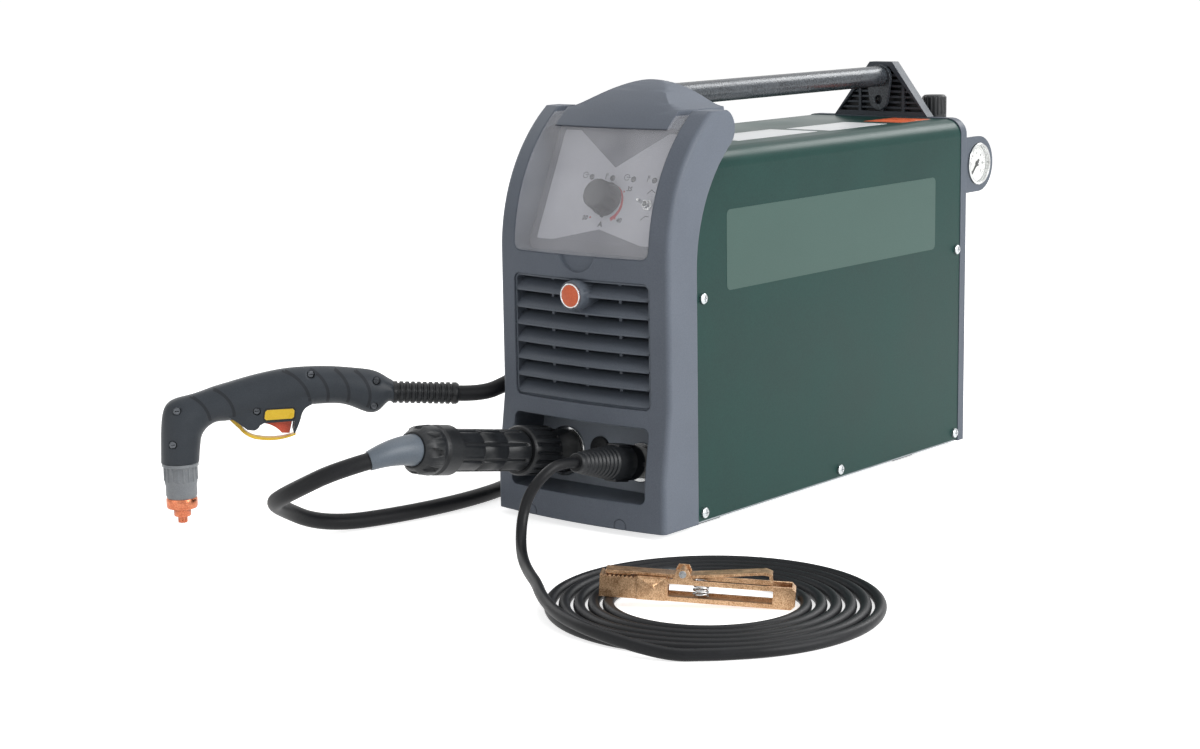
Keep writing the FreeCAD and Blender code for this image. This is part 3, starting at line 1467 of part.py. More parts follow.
def lead_tube(route, radius, name):
    """A lead: straight runs joined by arcs as large as the runs allow."""
    points = [vec(p) for p in route]
    path = []
    here = points[0]
    radii = []
    for i in range(1, len(points) - 1):
        a = points[i].sub(points[i - 1])
        b = points[i + 1].sub(points[i])
        trim = 0.45 * min(a.Length, b.Length)
        a.normalize()
        b.normalize()
        turn = math.acos(max(-1.0, min(1.0, a.dot(b))))
        radii.append(round(trim / math.tan(turn / 2)))
        enter = points[i].sub(a * trim)
        leave = points[i].add(b * trim)
        path.append(line(here, enter))
        path.append(arc_along(enter, a, leave))
        here = leave
    path.append(line(here, points[-1]))
    print("   ", name, "radii", radii)
    first = points[1].sub(points[0])
    return tube_of(path, points[0], first, radius, name)


def biarc(p0, t0, p1, t1):
    """Two tangent arcs from one point and heading to the next."""
    v = p1.sub(p0)
    t = t0.add(t1)
    k = 2 * (1 - t0.dot(t1))
    reach = (-v.dot(t) + math.sqrt(v.dot(t) ** 2 + k * v.dot(v))) / k
    q0 = p0.add(t0 * reach)
    q1 = p1.sub(t1 * reach)
    middle = (q0 + q1) * 0.5
    heading = q1.sub(q0)
    heading.normalize()
    return [arc_along(p0, t0, middle), arc_along(middle, heading, p1)]


def blend(share):
    share = max(0.0, min(1.0, share))
    return (1 - math.cos(math.pi * share)) / 2


def torch_coil_point(turns):
    """The put-away coil of the torch lead: in on the floor, out again on top."""
    half = torch_coil_turns / 2
    inward = half - math.sqrt((turns - half) ** 2 + torch_coil_round ** 2)
    inward += math.sqrt(half ** 2 + torch_coil_round ** 2) - half
    r = torch_coil_r - torch_coil_pitch * inward
    a = math.radians(torch_coil_start) - 2 * math.pi * turns
    rise = torch_coil_layer * blend((turns - half + 0.25) / 0.5)
    return Vec(torch_coil_x + r * math.cos(a), torch_coil_y + r * math.sin(a),
               torch_lead_r + rise)


def work_coil_point(turns):
    """The work lead's coil: one flat spiral on the floor, its inner end drawn in a little."""
    late = (turns - work_coil_turns) / work_coil_draw_turns + 1
    r = work_coil_r - work_coil_pitch * turns - work_coil_draw * blend(late)
    a = math.radians(work_coil_start) + 2 * math.pi * turns
    return Vec(work_coil_x + r * math.cos(a), work_coil_y + r * math.sin(a), work_lead_r)


def heading_at(place, turns):
    heading = place(turns + 0.0005).sub(place(turns - 0.0005))
    heading.normalize()
    return heading


def coil_tube(place, turns, radius, name):
    """One unbroken wound tube, with a straight end of one diameter at each side."""
    steps = math.ceil(turns * 4)
    stations = [turns * i / steps for i in range(steps + 1)]
    start = place(0).sub(heading_at(place, 0) * (2 * radius))
    path = [line(start, place(0))]
    for a, b in zip(stations, stations[1:]):
        path += biarc(place(a), heading_at(place, a), place(b), heading_at(place, b))
    end = place(turns).add(heading_at(place, turns) * (2 * radius))
    path.append(line(place(turns), end))
    samples = [place(turns * i / 900) for i in range(901)]
    per_turn = int(900 / turns)
    gap = min(samples[i].distanceToPoint(samples[j])
              for i in range(0, 901, 3) for j in range(i + int(0.6 * per_turn), 901, 3))
    print("   ", name, "least gap between turns", round(gap - 2 * radius, 2))
    return tube_of(path, start, heading_at(place, 0), radius, name)


def coil_start(place, radius):
    return place(0).sub(heading_at(place, 0) * (2 * radius))


def coil_end(place, turns, radius):
    return place(turns).add(heading_at(place, turns) * (2 * radius))


def joined_route(route, end, heading, run):
    """A route that goes on to meet a coil or a fitting squarely."""
    return list(route) + [tuple(end.sub(heading * run)), tuple(end)]


def torch_front_lead():
    end = coil_start(torch_coil_point, torch_lead_r)
    route = joined_route(torch_lead_route, end, heading_at(torch_coil_point, 0), 36)
    return lead_tube(route, torch_lead_r, "torch_lead_front")


def torch_rear_lead():
    end = torch_point(relief_end_s, 0, relief_end_z)
    leave = end.sub(torch_point(relief_start_s, 0, relief_start_z))
    leave.normalize()
    begin = coil_end(torch_coil_point, torch_coil_turns, torch_lead_r)
    out = heading_at(torch_coil_point, torch_coil_turns)
    route = [tuple(begin), tuple(begin.add(out * 28))] + torch_rear_route
    route = joined_route(route, end, leave * -1, 22)
    return lead_tube(route, torch_lead_r, "torch_lead_rear")


def work_front_lead():
    end = coil_start(work_coil_point, work_lead_r)
    start = plate_point(work_socket_x, 0, work_plug_length)
    route = [tuple(start), tuple(start.add(plate_normal * 19.6))] + work_lead_route
    route = joined_route(route, end, heading_at(work_coil_point, 0), 30)
    return lead_tube(route, work_lead_r, "work_lead")


def clamp_point(x, y, z):
    """A point on the clamp's own axes, in the unit's frame."""
    return clamp_placement().multVec(Vec(x, y, z))


def clamp_placement():
    turn = Rot(Vec(0, 0, 1), clamp_turn)
    lean = Rot(Vec(0, 1, 0), clamp_lean)
    return FreeCAD.Placement(Vec(clamp_x, clamp_y, clamp_z), turn.multiply(lean))


def clamp_place(shape):
    shape.Placement = clamp_placement().multiply(shape.Placement)
    return shape


def work_tail():
    begin = coil_end(work_coil_point, work_coil_turns, work_lead_r)
    out = heading_at(work_coil_point, work_coil_turns)
    end = clamp_point(clamp_entry_x, clamp_half_w + clamp_sleeve, clamp_entry_z)
    into = clamp_point(0, -1, 0).sub(clamp_point(0, 0, 0))
    route = [tuple(begin), tuple(begin.add(out * 9))] + work_tail_route
    route = joined_route(route, end, into, 17)
    return lead_tube(route, work_lead_r, "work_tail")


def clamp_frame():
    w = clamp_half_w
    t = clamp_sheet
    length, high = clamp_length, clamp_high
    jaw = box(0, clamp_jaw, -w, w, 0, high)
    teeth = []
    for i in range(8):
        x = 1.5 + 3.2 * i
        teeth.append(prism([(x, -w - 1, high + 0.01), (x + 2.4, -w - 1, high + 0.01),
                            (x + 1.2, -w - 1, high - 1.6)], (0, 2 * w + 2, 0)))
    block = box(clamp_jaw, clamp_block_end, -w - 1, w + 1, 0, high + 0.8)
    bolt = rod((clamp_entry_x, -w - 1, clamp_entry_z), (0, -1, 0), 2.6, 1.2)
    outer = prism([(clamp_jaw, -w, 0), (length - 3, -w, 0), (length, -w, 3),
                   (length, -w, high - 3), (length - 3, -w, high), (clamp_jaw, -w, high)],
                  (0, 2 * w, 0))
    channel = box(clamp_block_end, length - 3, -w + t, w - t, t, high + 1)
    window = box(clamp_block_end + 1.5, clamp_window_end, -w - 1, w + 1, clamp_rail,
                 high - clamp_rail)
    ears = []
    for side in (-1, 1):
        y0, y1 = sorted((side * w, side * (w - t)))
        ears.append(prism([(clamp_pivot_x - 8, y0, high - 1), (clamp_pivot_x + 8, y0, high - 1),
                           (clamp_pivot_x + 4, y0, clamp_pivot_z + 3.4),
                           (clamp_pivot_x - 4, y0, clamp_pivot_z + 3.4)], (0, y1 - y0, 0)))
    sleeve = rod((clamp_entry_x, w, clamp_entry_z), (0, 1, 0), 6, clamp_sleeve)
    body = fused([jaw.cut(teeth), block, bolt, outer.cut([channel, window]), sleeve] + ears)
    bore = rod((clamp_pivot_x, -30, clamp_pivot_z), (0, 1, 0), clamp_pin_r, 60)
    return clamp_place(body.cut(bore))


def clamp_lever():
    w = clamp_half_w - clamp_sheet - 0.5
    t = 2.0
    z = clamp_high + 1.2
    side = [
        (4, z), (clamp_pivot_x - 6, z), (clamp_pivot_x + 6, z), (122, z + 6.5),
        (126.5, z + 6.0), (127.5, z - 1.0), (129.5, z - 1.0), (128.8, z + 7.2),
        (124, z + 8.7), (clamp_pivot_x + 5, z + t), (4, z + t),
    ]
    strap = prism([(x, -w, h) for x, h in side], (0, 2 * w, 0))
    knuckle = rod((clamp_pivot_x, -w, clamp_pivot_z), (0, 1, 0), clamp_pin_r + 1.4, 2 * w)
    bore = rod((clamp_pivot_x, -30, clamp_pivot_z), (0, 1, 0), clamp_pin_r + running_gap, 60)
    jaw_tip = prism([(4, -w, z + 0.1), (24, -w, z + 0.1), (22, -w, z - 0.7), (6, -w, z - 0.7)],
                    (0, 2 * w, 0))
    return clamp_place(fused([strap, knuckle, jaw_tip]).cut(bore))


def clamp_pin():
    reach = clamp_half_w + 1.2
    pin = rod((clamp_pivot_x, -reach, clamp_pivot_z), (0, 1, 0), clamp_pin_r, 2 * reach)
    heads = []
    for side in (-1, 1):
        y0, y1 = sorted((side * clamp_half_w, side * (clamp_half_w + 1.2)))
        heads.append(rod((clamp_pivot_x, y0, clamp_pivot_z), (0, 1, 0), clamp_pin_r + 1.2,
                         y1 - y0))
    return clamp_place(fused([pin] + heads))


def clamp_spring():
    """A compression spring that stands in the clamp frame under the lever."""
    r, wire_r, turns, pitch = 5.4, 0.9, 3.5, 3.4
    low = clamp_sheet + wire_r + 0.15
    steps = int(turns * 4)

    def place(turn):
        a = 2 * math.pi * turn
        return Vec(clamp_spring_x + r * math.cos(a), r * math.sin(a), low + pitch * turn)

    path = []
    for i in range(steps):
        a, b = i / 4.0, (i + 1) / 4.0
        path += biarc(place(a), heading_at(place, a), place(b), heading_at(place, b))
    return clamp_place(tube_of(path, place(0), heading_at(place, 0), wire_r, "clamp_spring"))


pieces = {
    "front_bezel": front_bezel(),
    "front_grille": front_grille(),
    "badge_disc": badge_disc(),
    "window_cover": window_cover(),
    "window_pins": window_pins(),
    "control_panel": control_panel(),
    "panel_lamps": panel_lamps(),
    "current_knob": current_knob(),
    "mode_switch": mode_switch(),
    "mode_toggle": mode_toggle(),
    "socket_plate": socket_plate(),
    "torch_socket": torch_socket(),
    "work_socket": work_socket(),
    "remote_cap": remote_cap(),
    "side_cover": side_cover(),
    "case_screws": case_screws(),
    "base_tray": base_tray(),
    "rubber_feet": rubber_feet(),
    "rear_frame": rear_frame(),
    "rear_panel": rear_panel(),
    "fan_frame": fan_frame(),
    "fan_rotor": fan_rotor(),
    "mains_switch": mains_switch(),
    "mains_rocker": mains_rocker(),
    "mains_gland": mains_gland(),
    "heat_sink": heat_sink(),
    "power_board": power_board(),
    "rear_bracket": rear_bracket(),
    "handle_tube": handle_tube(),
    "handle_lug": handle_lug(),
    "regulator_body": regulator_body(),
    "regulator_bowl": regulator_bowl(),
    "regulator_knob": regulator_knob(),
    "gauge_cheek": gauge_cheek(),
    "gauge_case": gauge_case(),
    "gauge_needle": gauge_needle(),
    "gauge_lens": gauge_lens(),
    "torch_shell_left": torch_shell(1),
    "torch_shell_right": torch_shell(-1),
    "torch_cap": torch_cap(),
    "torch_tip": torch_tip(),
    "torch_trigger": torch_trigger(),
    "torch_safety": torch_safety(),
    "torch_screws": torch_screws(),
    "torch_relief": torch_relief(),
    "plug_ring": plug_ring(),
    "plug_body": plug_body(),
    "plug_nut": plug_nut(),
    "plug_relief": plug_relief(),
    "torch_lead_front": torch_front_lead(),
    "torch_lead_coil": coil_tube(torch_coil_point, torch_coil_turns, torch_lead_r,
                                 "torch_lead_coil"),
    "torch_lead_rear": torch_rear_lead(),
    "work_plug": work_plug(),
    "work_lead": work_front_lead(),
    "work_coil": coil_tube(work_coil_point, work_coil_turns, work_lead_r, "work_coil"),
    "work_tail": work_tail(),
    "clamp_frame": clamp_frame(),
    "clamp_lever": clamp_lever(),
    "clamp_pin": clamp_pin(),
    "clamp_spring": clamp_spring(),
}

os.makedirs("parts", exist_ok=True)
for name, shape in pieces.items():
    shape.exportStep("parts/" + name + ".step")
    print(name, shape.isValid(), len(shape.Solids), round(shape.Volume / 1000, 1))
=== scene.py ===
import math
import bmesh
import bpy
from mathutils import Matrix, Vector
from mathutils.bvhtree import BVHTree


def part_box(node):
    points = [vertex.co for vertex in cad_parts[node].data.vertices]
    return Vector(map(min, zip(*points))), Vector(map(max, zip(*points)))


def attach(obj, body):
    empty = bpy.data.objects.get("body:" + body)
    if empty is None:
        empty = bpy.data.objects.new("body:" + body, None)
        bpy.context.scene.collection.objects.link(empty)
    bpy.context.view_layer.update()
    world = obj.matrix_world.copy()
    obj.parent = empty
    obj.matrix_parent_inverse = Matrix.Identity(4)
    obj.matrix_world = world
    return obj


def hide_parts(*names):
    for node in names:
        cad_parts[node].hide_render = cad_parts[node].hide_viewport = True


# A plasma cutter unit: its solids get their finishes, its leads become cords, and prints,
# a dial and grip bands are added.
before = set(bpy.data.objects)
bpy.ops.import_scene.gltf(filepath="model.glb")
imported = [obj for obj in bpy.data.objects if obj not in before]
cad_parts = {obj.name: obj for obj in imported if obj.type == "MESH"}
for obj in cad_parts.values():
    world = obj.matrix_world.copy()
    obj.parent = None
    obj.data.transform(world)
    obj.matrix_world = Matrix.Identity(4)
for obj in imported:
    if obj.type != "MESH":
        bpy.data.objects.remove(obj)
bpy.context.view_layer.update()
print("frame loaded, nodes:", len(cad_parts))

# Pieces are worked out in millimetres, and one scale turns them to metres. The camera's and
# the studio's places are metres.
unitPlace = Matrix.Scale(0.001, 4)
toMillimetres = Matrix.Scale(1000, 4)


def leanedPlace(origin, tilt):
    # a plane that faces the front and leans back: local x right, y up the plane, z out of it
    turn = math.radians(tilt)
    s, c = math.sin(turn), math.cos(turn)
    x, y, z = origin
    return unitPlace @ Matrix(((1, 0, 0, x), (0, s, -c, y), (0, c, s, z), (0, 0, 0, 1)))


def turnedPlace(origin, *turns):
    # a piece's own origin, then its turns: degrees and axis
    place = unitPlace @ Matrix.Translation(origin)
    for degrees, axis in turns:
        place = place @ Matrix.Rotation(math.radians(degrees), 4, axis)
    return place


# The same places as in the solids
panelPlace = leanedPlace((0, -199.1, 277.8), 24.8)
platePlace = leanedPlace((0, -206.0, 54.5), 10.0)
torchPlace = turnedPlace((-293.4, -437.0, 0), (49.92, "Z"))
clampPlace = turnedPlace((171, -424.6, 9.6), (33.4, "Z"), (3.7, "Y"))


# Camera: the photograph's own view
cameraView = {
    "place": (1.251173, -1.736584, 0.481401),
    "yaw": 39.38,      # degrees to the left of straight ahead
    "pitch": 10.16,    # degrees down
    "roll": -0.87,
    "lens": 69.785,    # millimetres, as is the sensor's width
    "sensor": 36.0,
    "near": 0.05,
    "far": 100.0,
}


def makeCamera():
    data = bpy.data.cameras.new("photoCamera")
    data.lens = cameraView["lens"]
    data.sensor_width = cameraView["sensor"]
    data.sensor_fit = "HORIZONTAL"
    data.clip_start = cameraView["near"]
    data.clip_end = cameraView["far"]
    camera = bpy.data.objects.new("photoCamera", data)
    bpy.context.scene.collection.objects.link(camera)
    camera.matrix_world = (
        Matrix.Translation(cameraView["place"])
        @ Matrix.Rotation(math.radians(cameraView["yaw"]), 4, "Z")
        @ Matrix.Rotation(math.radians(90 - cameraView["pitch"]), 4, "X")
        @ Matrix.Rotation(math.radians(cameraView["roll"]), 4, "Z"))
    bpy.context.scene.camera = camera


makeCamera()
print("camera set")


def linear(code):
    # hex sRGB to linear RGBA
    parts = [int(code[i:i + 2], 16) / 255 for i in (1, 3, 5)]
    return [p / 12.92 if p <= 0.04045 else ((p + 0.055) / 1.055) ** 2.4 for p in parts] + [1]


def addNode(tree, kind, inputs=(), links=(), **settings):
    # one node: its settings, the values of its sockets, and the sockets it is fed from
    node = tree.nodes.new("ShaderNode" + kind)
    for name, value in settings.items():
        setattr(node, name, value)
    for name, value in dict(inputs).items():
        node.inputs[name].default_value = value
    for name, source in dict(links).items():
        tree.links.new(source, node.inputs[name])
    return node


def perMetre(size):
    # a texture's scale for features of this many millimetres
    return 1000.0 / size


def newSurface(name):
    material = bpy.data.materials.new(name)
    material.use_nodes = True
    tree = material.node_tree
    return material, tree, tree.nodes["Principled BSDF"]


# What all grained finishes share
grainBase = {
    "fade": (0.36, 0.64),      # pattern values where the darker and the lighter colour are full
    "roughFade": (0.3, 0.7),
    "roughSpread": 0.05,
    "coatRough": 0.2,
    "edgeSamples": 6,
}


def grainedSurface(name, look):
    # colour in soft blotches, a roughness that varies, a raised grain and softened edges
    material, tree, shader = newSurface(name)
    place = addNode(tree, "TexCoord").outputs["Object"]
    blotch = addNode(tree, "TexNoise", {"Scale": perMetre(look["blotch"]), "Detail": 3.0},
                     {"Vector": place})
    speck = addNode(tree, "TexNoise", {"Scale": perMetre(look["speck"]), "Detail": 1.0},
                    {"Vector": place})
    both = addNode(tree, "Mix", {"Factor": look.get("speckShare", 0.5)},
                   {2: blotch.outputs["Fac"], 3: speck.outputs["Fac"]})   # its A and B
    ramp = addNode(tree, "ValToRGB", links={"Fac": both.outputs["Result"]})
    for stop, at, shade in zip(ramp.color_ramp.elements, grainBase["fade"], ("dark", "light")):
        stop.position = at
        stop.color = linear(look[shade])
    tree.links.new(ramp.outputs["Color"], shader.inputs["Base Color"])
    low, high = grainBase["roughFade"]
    rough = addNode(tree, "MapRange", {"From Min": low, "From Max": high,
                                       "To Min": look["rough"] - grainBase["roughSpread"],
                                       "To Max": look["rough"] + grainBase["roughSpread"]},
                    {"Value": blotch.outputs["Fac"]})
    tree.links.new(rough.outputs["Result"], shader.inputs["Roughness"])
    grain = addNode(tree, "TexNoise", {"Scale": perMetre(look["grain"]), "Detail": 2.0},
                    {"Vector": place})
    bump = addNode(tree, "Bump", {"Strength": look.get("bump", 0.5),
                                  "Distance": look["grainDepth"] * 0.001},
                   {"Height": grain.outputs["Fac"]})
    if "edge" in look:
        soft = addNode(tree, "Bevel", {"Radius": look["edge"] * 0.001},
                       samples=grainBase["edgeSamples"])
        tree.links.new(soft.outputs["Normal"], bump.inputs["Normal"])
    tree.links.new(bump.outputs["Normal"], shader.inputs["Normal"])
    shader.inputs["Metallic"].default_value = look.get("metallic", 0.0)
    shader.inputs["Coat Weight"].default_value = look.get("coat", 0.0)
    shader.inputs["Coat Roughness"].default_value = grainBase["coatRough"]
    shader.inputs["Specular IOR Level"].default_value = look.get("shine", 0.5)
    if "ior" in look:
        shader.inputs["IOR"].default_value = look["ior"]
    return material


# Each finish: what the real one is, and what that gives the eye. "blotch", "speck", "grain",
# "grainDepth" and "edge" are millimetres. Grains finer than about 0.7 mm don't show, so they
# are drawn that coarse.
finishLooks = {
    # moulded ABS with a spark-eroded texture: slate grey, dull, finely pebbled
    "mouldedAbs": {"dark": "#5d646f", "light": "#676e79", "blotch": 60, "speck": 0.9,
                   "rough": 0.5, "grain": 0.7, "grainDepth": 0.05, "ior": 1.54,
                   "shine": 0.25, "edge": 1.8},
    # the same plastic in the grille, in a darker batch
    "grilleAbs": {"dark": "#565d67", "light": "#616872", "blotch": 50, "speck": 0.9,
                  "rough": 0.46, "grain": 0.7, "grainDepth": 0.04, "ior": 1.54,
                  "shine": 0.3, "edge": 0.8},
    # textured polyester powder coat on steel: dark green with a light orange peel
    "powderGreen": {"dark": "#0b312d", "light": "#123a35", "blotch": 90, "speck": 1.2,
                    "rough": 0.34, "grain": 0.9, "grainDepth": 0.035, "ior": 1.5,
                    "shine": 0.18, "edge": 0.8},
    # screen-printed polyester film, matt and a little lighter than the case
    "labelFilm": {"dark": "#3a534d", "light": "#405953", "blotch": 120, "speck": 1.0,
                  "rough": 0.38, "grain": 0.8, "grainDepth": 0.012, "ior": 1.57,
                  "shine": 0.2},
    # powder-coated rear frame and cheek: plain slate grey
    "powderGrey": {"dark": "#515862", "light": "#5b626c", "blotch": 60, "speck": 1.0,
                   "rough": 0.45, "grain": 0.8, "grainDepth": 0.03, "ior": 1.5,
                   "shine": 0.22, "edge": 1.0},
    # galvanised sheet, seen only inside and below
    "zincSheet": {"dark": "#8b9094", "light": "#a4a9ac", "blotch": 14, "speck": 3,
                  "rough": 0.38, "grain": 2.0, "grainDepth": 0.02, "metallic": 0.85},
    # hammertone enamel: charcoal with small bright dimples
    "hammertone": {"dark": "#262a2f", "light": "#4d5359", "blotch": 30, "speck": 1.3,
                   "speckShare": 0.75, "rough": 0.26, "grain": 1.8, "grainDepth": 0.35,
                   "bump": 0.7, "metallic": 0.2, "shine": 0.5, "edge": 0.6},
    # die-cast bracket under dark enamel
    "castEnamel": {"dark": "#363b42", "light": "#434951", "blotch": 40, "speck": 1.0,
                   "rough": 0.45, "grain": 1.2, "grainDepth": 0.05, "metallic": 0.1,
                   "shine": 0.35, "edge": 0.6},
    # glass-filled nylon: near black, satin, faint flow marks
    "nylonBlack": {"dark": "#191b1d", "light": "#222427", "blotch": 20, "speck": 1.0,
                   "rough": 0.4, "grain": 0.9, "grainDepth": 0.03, "ior": 1.53,
                   "shine": 0.3, "edge": 0.6},
    # torch grip: soft-touch nylon in dark grey
    "torchNylon": {"dark": "#31363c", "light": "#393e44", "blotch": 30, "speck": 0.9,
                   "rough": 0.46, "grain": 0.8, "grainDepth": 0.04, "ior": 1.53,
                   "shine": 0.25, "edge": 1.2},
    # chloroprene cable sheath: black, dull, slightly dusty
    "sheathRubber": {"dark": "#131416", "light": "#1a1b1e", "blotch": 45, "speck": 1.4,
                     "rough": 0.44, "grain": 1.6, "grainDepth": 0.03, "ior": 1.52,
                     "shine": 0.2},
    # moulded bend relief in blue-grey rubber
    "reliefRubber": {"dark": "#5a636c", "light": "#656e78", "blotch": 25, "speck": 1.0,
                     "rough": 0.4, "grain": 0.9, "grainDepth": 0.02, "ior": 1.52,
                     "shine": 0.35, "edge": 0.8},
    # black rubber feet and cap
    "capRubber": {"dark": "#1d1e20", "light": "#27292b", "blotch": 20, "speck": 0.9,
                  "rough": 0.62, "grain": 0.8, "grainDepth": 0.04, "ior": 1.52,
                  "shine": 0.3, "edge": 0.6},
    # grip bands let into the torch handle: soft rubber, darker than the nylon
    "bandRubber": {"dark": "#24272b", "light": "#2b2e33", "blotch": 15, "speck": 0.8,
                   "rough": 0.6, "grain": 0.8, "grainDepth": 0.03, "ior": 1.52,
                   "shine": 0.25},
    # heat-proof moulding compound of the retaining cap: pale grey, stony
    "capCompound": {"dark": "#83878c", "light": "#94989c", "blotch": 8, "speck": 0.8,
                    "rough": 0.48, "grain": 0.8, "grainDepth": 0.05, "ior": 1.5,
                    "shine": 0.35, "edge": 0.6},
    # turned copper, a little tarnished
    "turnedCopper": {"dark": "#b8684a", "light": "#d68a68", "blotch": 7, "speck": 1.2,
                     "rough": 0.26, "grain": 0.9, "grainDepth": 0.02, "metallic": 1.0,
                     "edge": 0.4},
    # brass-plated clamp: granular casting skin
    "clampBrass": {"dark": "#a57c58", "light": "#e0bc96", "blotch": 6, "speck": 0.9,
                   "speckShare": 0.7, "rough": 0.34, "grain": 0.9, "grainDepth": 0.1,
                   "bump": 0.8, "metallic": 0.85, "edge": 0.5},
    # screws that sit in the torch's wells, their colour darkened: painted shade of the wells
    "screwPaintedShade": {"dark": "#4c4f53", "light": "#62656a", "blotch": 3, "speck": 0.9,
                       "rough": 0.3, "grain": 0.8, "grainDepth": 0.01, "metallic": 0.9},
    # the same plastic as the front, on the socket plate, its colour lightened: painted light for
    # the dim recess it sits in
    "plateAbsPaintedLight": {"dark": "#868d98", "light": "#9098a2", "blotch": 40, "speck": 0.9,
                 "rough": 0.42, "grain": 0.7, "grainDepth": 0.04, "ior": 1.54,
                 "shine": 0.35, "edge": 0.8},
    # zinc-plated steel screws and pins
    "zincScrew": {"dark": "#b4b8bb", "light": "#d0d3d5", "blotch": 3, "speck": 0.9,
                  "rough": 0.28, "grain": 0.8, "grainDepth": 0.01, "metallic": 1.0,
                  "edge": 0.3},
    # bright nickel plate on brass
    "nickelPlate": {"dark": "#c6c8c8", "light": "#dfe0df", "blotch": 20, "speck": 2.0,
                    "rough": 0.16, "grain": 1.5, "grainDepth": 0.004, "metallic": 1.0,
                    "edge": 0.4},
    # cast and blasted aluminium
    "blastedAluminium": {"dark": "#8f9396", "light": "#a9adb0", "blotch": 15, "speck": 0.8,
                         "rough": 0.42, "grain": 0.8, "grainDepth": 0.03, "metallic": 0.9,
                         "edge": 0.6},
    # glossy acetal mouldings of the trigger and the safety lever
    "triggerAcetal": {"dark": "#d9523a", "light": "#ea6a4d", "blotch": 18, "speck": 1.0,
                      "rough": 0.32, "grain": 0.9, "grainDepth": 0.01, "ior": 1.48,
                      "shine": 0.4, "edge": 0.6},
    "safetyAcetal": {"dark": "#efbf33", "light": "#fbd24c", "blotch": 18, "speck": 1.0,
                     "rough": 0.3, "grain": 0.9, "grainDepth": 0.01, "ior": 1.48,
                     "shine": 0.4, "edge": 0.5},
    # plain anodised plate on the torch, in yellow
    "plateYellow": {"dark": "#e3b92a", "light": "#f0ca3e", "blotch": 12, "speck": 0.9,
                    "rough": 0.3, "grain": 0.8, "grainDepth": 0.01, "shine": 0.4},
    # printed overlay of the control panel: matt lilac-grey polyester
    "overlayFilm": {"dark": "#dcdde6", "light": "#e4e5ed", "blotch": 60, "speck": 0.8,
                    "rough": 0.5, "grain": 0.7, "grainDepth": 0.01, "ior": 1.57,
                    "shine": 0.3},
    "overlayShade": {"dark": "#7d7f89", "light": "#868892", "blotch": 60, "speck": 0.8,
                     "rough": 0.5, "grain": 0.7, "grainDepth": 0.01, "ior": 1.57,
                     "shine": 0.3},
    # plain adhesive labels: off-white and orange vinyl, nothing printed on them
    "labelVinyl": {"dark": "#d4d6d8", "light": "#e0e2e3", "blotch": 40, "speck": 1.0,
                   "rough": 0.35, "grain": 0.9, "grainDepth": 0.01, "shine": 0.4},
    # printing inks
    "inkGrey": {"dark": "#1d1e23", "light": "#25262c", "blotch": 20, "speck": 0.8,
                "rough": 0.5, "grain": 0.8, "grainDepth": 0.01, "shine": 0.3},
    "inkRed": {"dark": "#c8242a", "light": "#d63236", "blotch": 20, "speck": 0.8,
               "rough": 0.5, "grain": 0.8, "grainDepth": 0.01, "shine": 0.3},
    "inkOrange": {"dark": "#e2643a", "light": "#ef7648", "blotch": 20, "speck": 0.8,
                  "rough": 0.3, "grain": 0.8, "grainDepth": 0.01, "shine": 0.4,
                  "edge": 0.5},
    # tinted lenses of the panel's lamps: dark and glossy
    "lampTint": {"dark": "#55575a", "light": "#626467", "blotch": 8, "speck": 0.8,
                 "rough": 0.2, "grain": 0.8, "grainDepth": 0.01, "coat": 0.5},
    # glass-fibre circuit board
    "boardLaminate": {"dark": "#1c4a2c", "light": "#255a37", "blotch": 12, "speck": 1.5,
                      "rough": 0.4, "grain": 1.0, "grainDepth": 0.02},
    # white enamel of the gauge dial
    "dialEnamel": {"dark": "#e6e7e5", "light": "#f1f1ef", "blotch": 30, "speck": 0.8,
                   "rough": 0.35, "grain": 0.8, "grainDepth": 0.005, "shine": 0.4},
}
finishes = {name: grainedSurface(name, look) for name, look in finishLooks.items()}


# Clear finishes: how much of what is behind each one it covers, and how rough it is
clearLooks = {
    # smoked polycarbonate; its near-white milky colour over what is behind it is a painted
    # reflection of the bright surroundings
    "smokedCoverPaintedReflection": {"name": "smokedPolycarbonatePaintedReflection", "color": "#eeeff5", "cover": 0.17,
                    "rough": 0.14},
    # moulded polycarbonate of the filter's bowl: a grey tint, small waves
    "clearBowl": {"name": "clearPolycarbonate", "color": "#aeb6bb", "cover": 0.3,
                  "rough": 0.1},
    # flat polished pane, almost invisible
    "gaugeGlass": {"name": "gaugeGlass", "color": "#e8ecec", "cover": 0.06, "rough": 0.03},
}
clearBase = {"smudge": 35, "fade": (0.35, 0.65), "coverSpread": 0.03, "ior": 1.58}


def clearSurface(look):
    # thin clear plastic: mostly see-through, with a tint and a gloss; on the smoked cover that
    # tint is a painted reflection
    material, tree, shader = newSurface(look["name"])
    place = addNode(tree, "TexCoord").outputs["Object"]
    smudge = addNode(tree, "TexNoise", {"Scale": perMetre(clearBase["smudge"]), "Detail": 4.0},
                     {"Vector": place})
    low, high = clearBase["fade"]
    haze = addNode(tree, "MapRange", {"From Min": low, "From Max": high,
                                      "To Min": look["cover"] - clearBase["coverSpread"],
                                      "To Max": look["cover"] + clearBase["coverSpread"]},
                   {"Value": smudge.outputs["Fac"]})
    tree.links.new(haze.outputs["Result"], shader.inputs["Alpha"])
    shader.inputs["Base Color"].default_value = linear(look["color"])
    shader.inputs["Roughness"].default_value = look["rough"]
    shader.inputs["IOR"].default_value = clearBase["ior"]
    return material


finishes.update({name: clearSurface(look) for name, look in clearLooks.items()})
print("materials made:", len(finishes))


def finishPiece(name, bm, place, body, finish, smooth=35):
    # a bmesh in millimetres becomes a finished piece that rides on its body
    bmesh.ops.transform(bm, matrix=place, verts=bm.verts)
    mesh = bpy.data.meshes.new(name)
    bm.to_mesh(mesh)
    bm.free()
    mesh.shade_smooth()
    mesh.set_sharp_from_angle(angle=math.radians(smooth))
    mesh.materials.append(finishes[finish])
    piece = bpy.data.objects.new(name, mesh)
    bpy.context.scene.collection.objects.link(piece)
    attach(piece, body)
    return piece


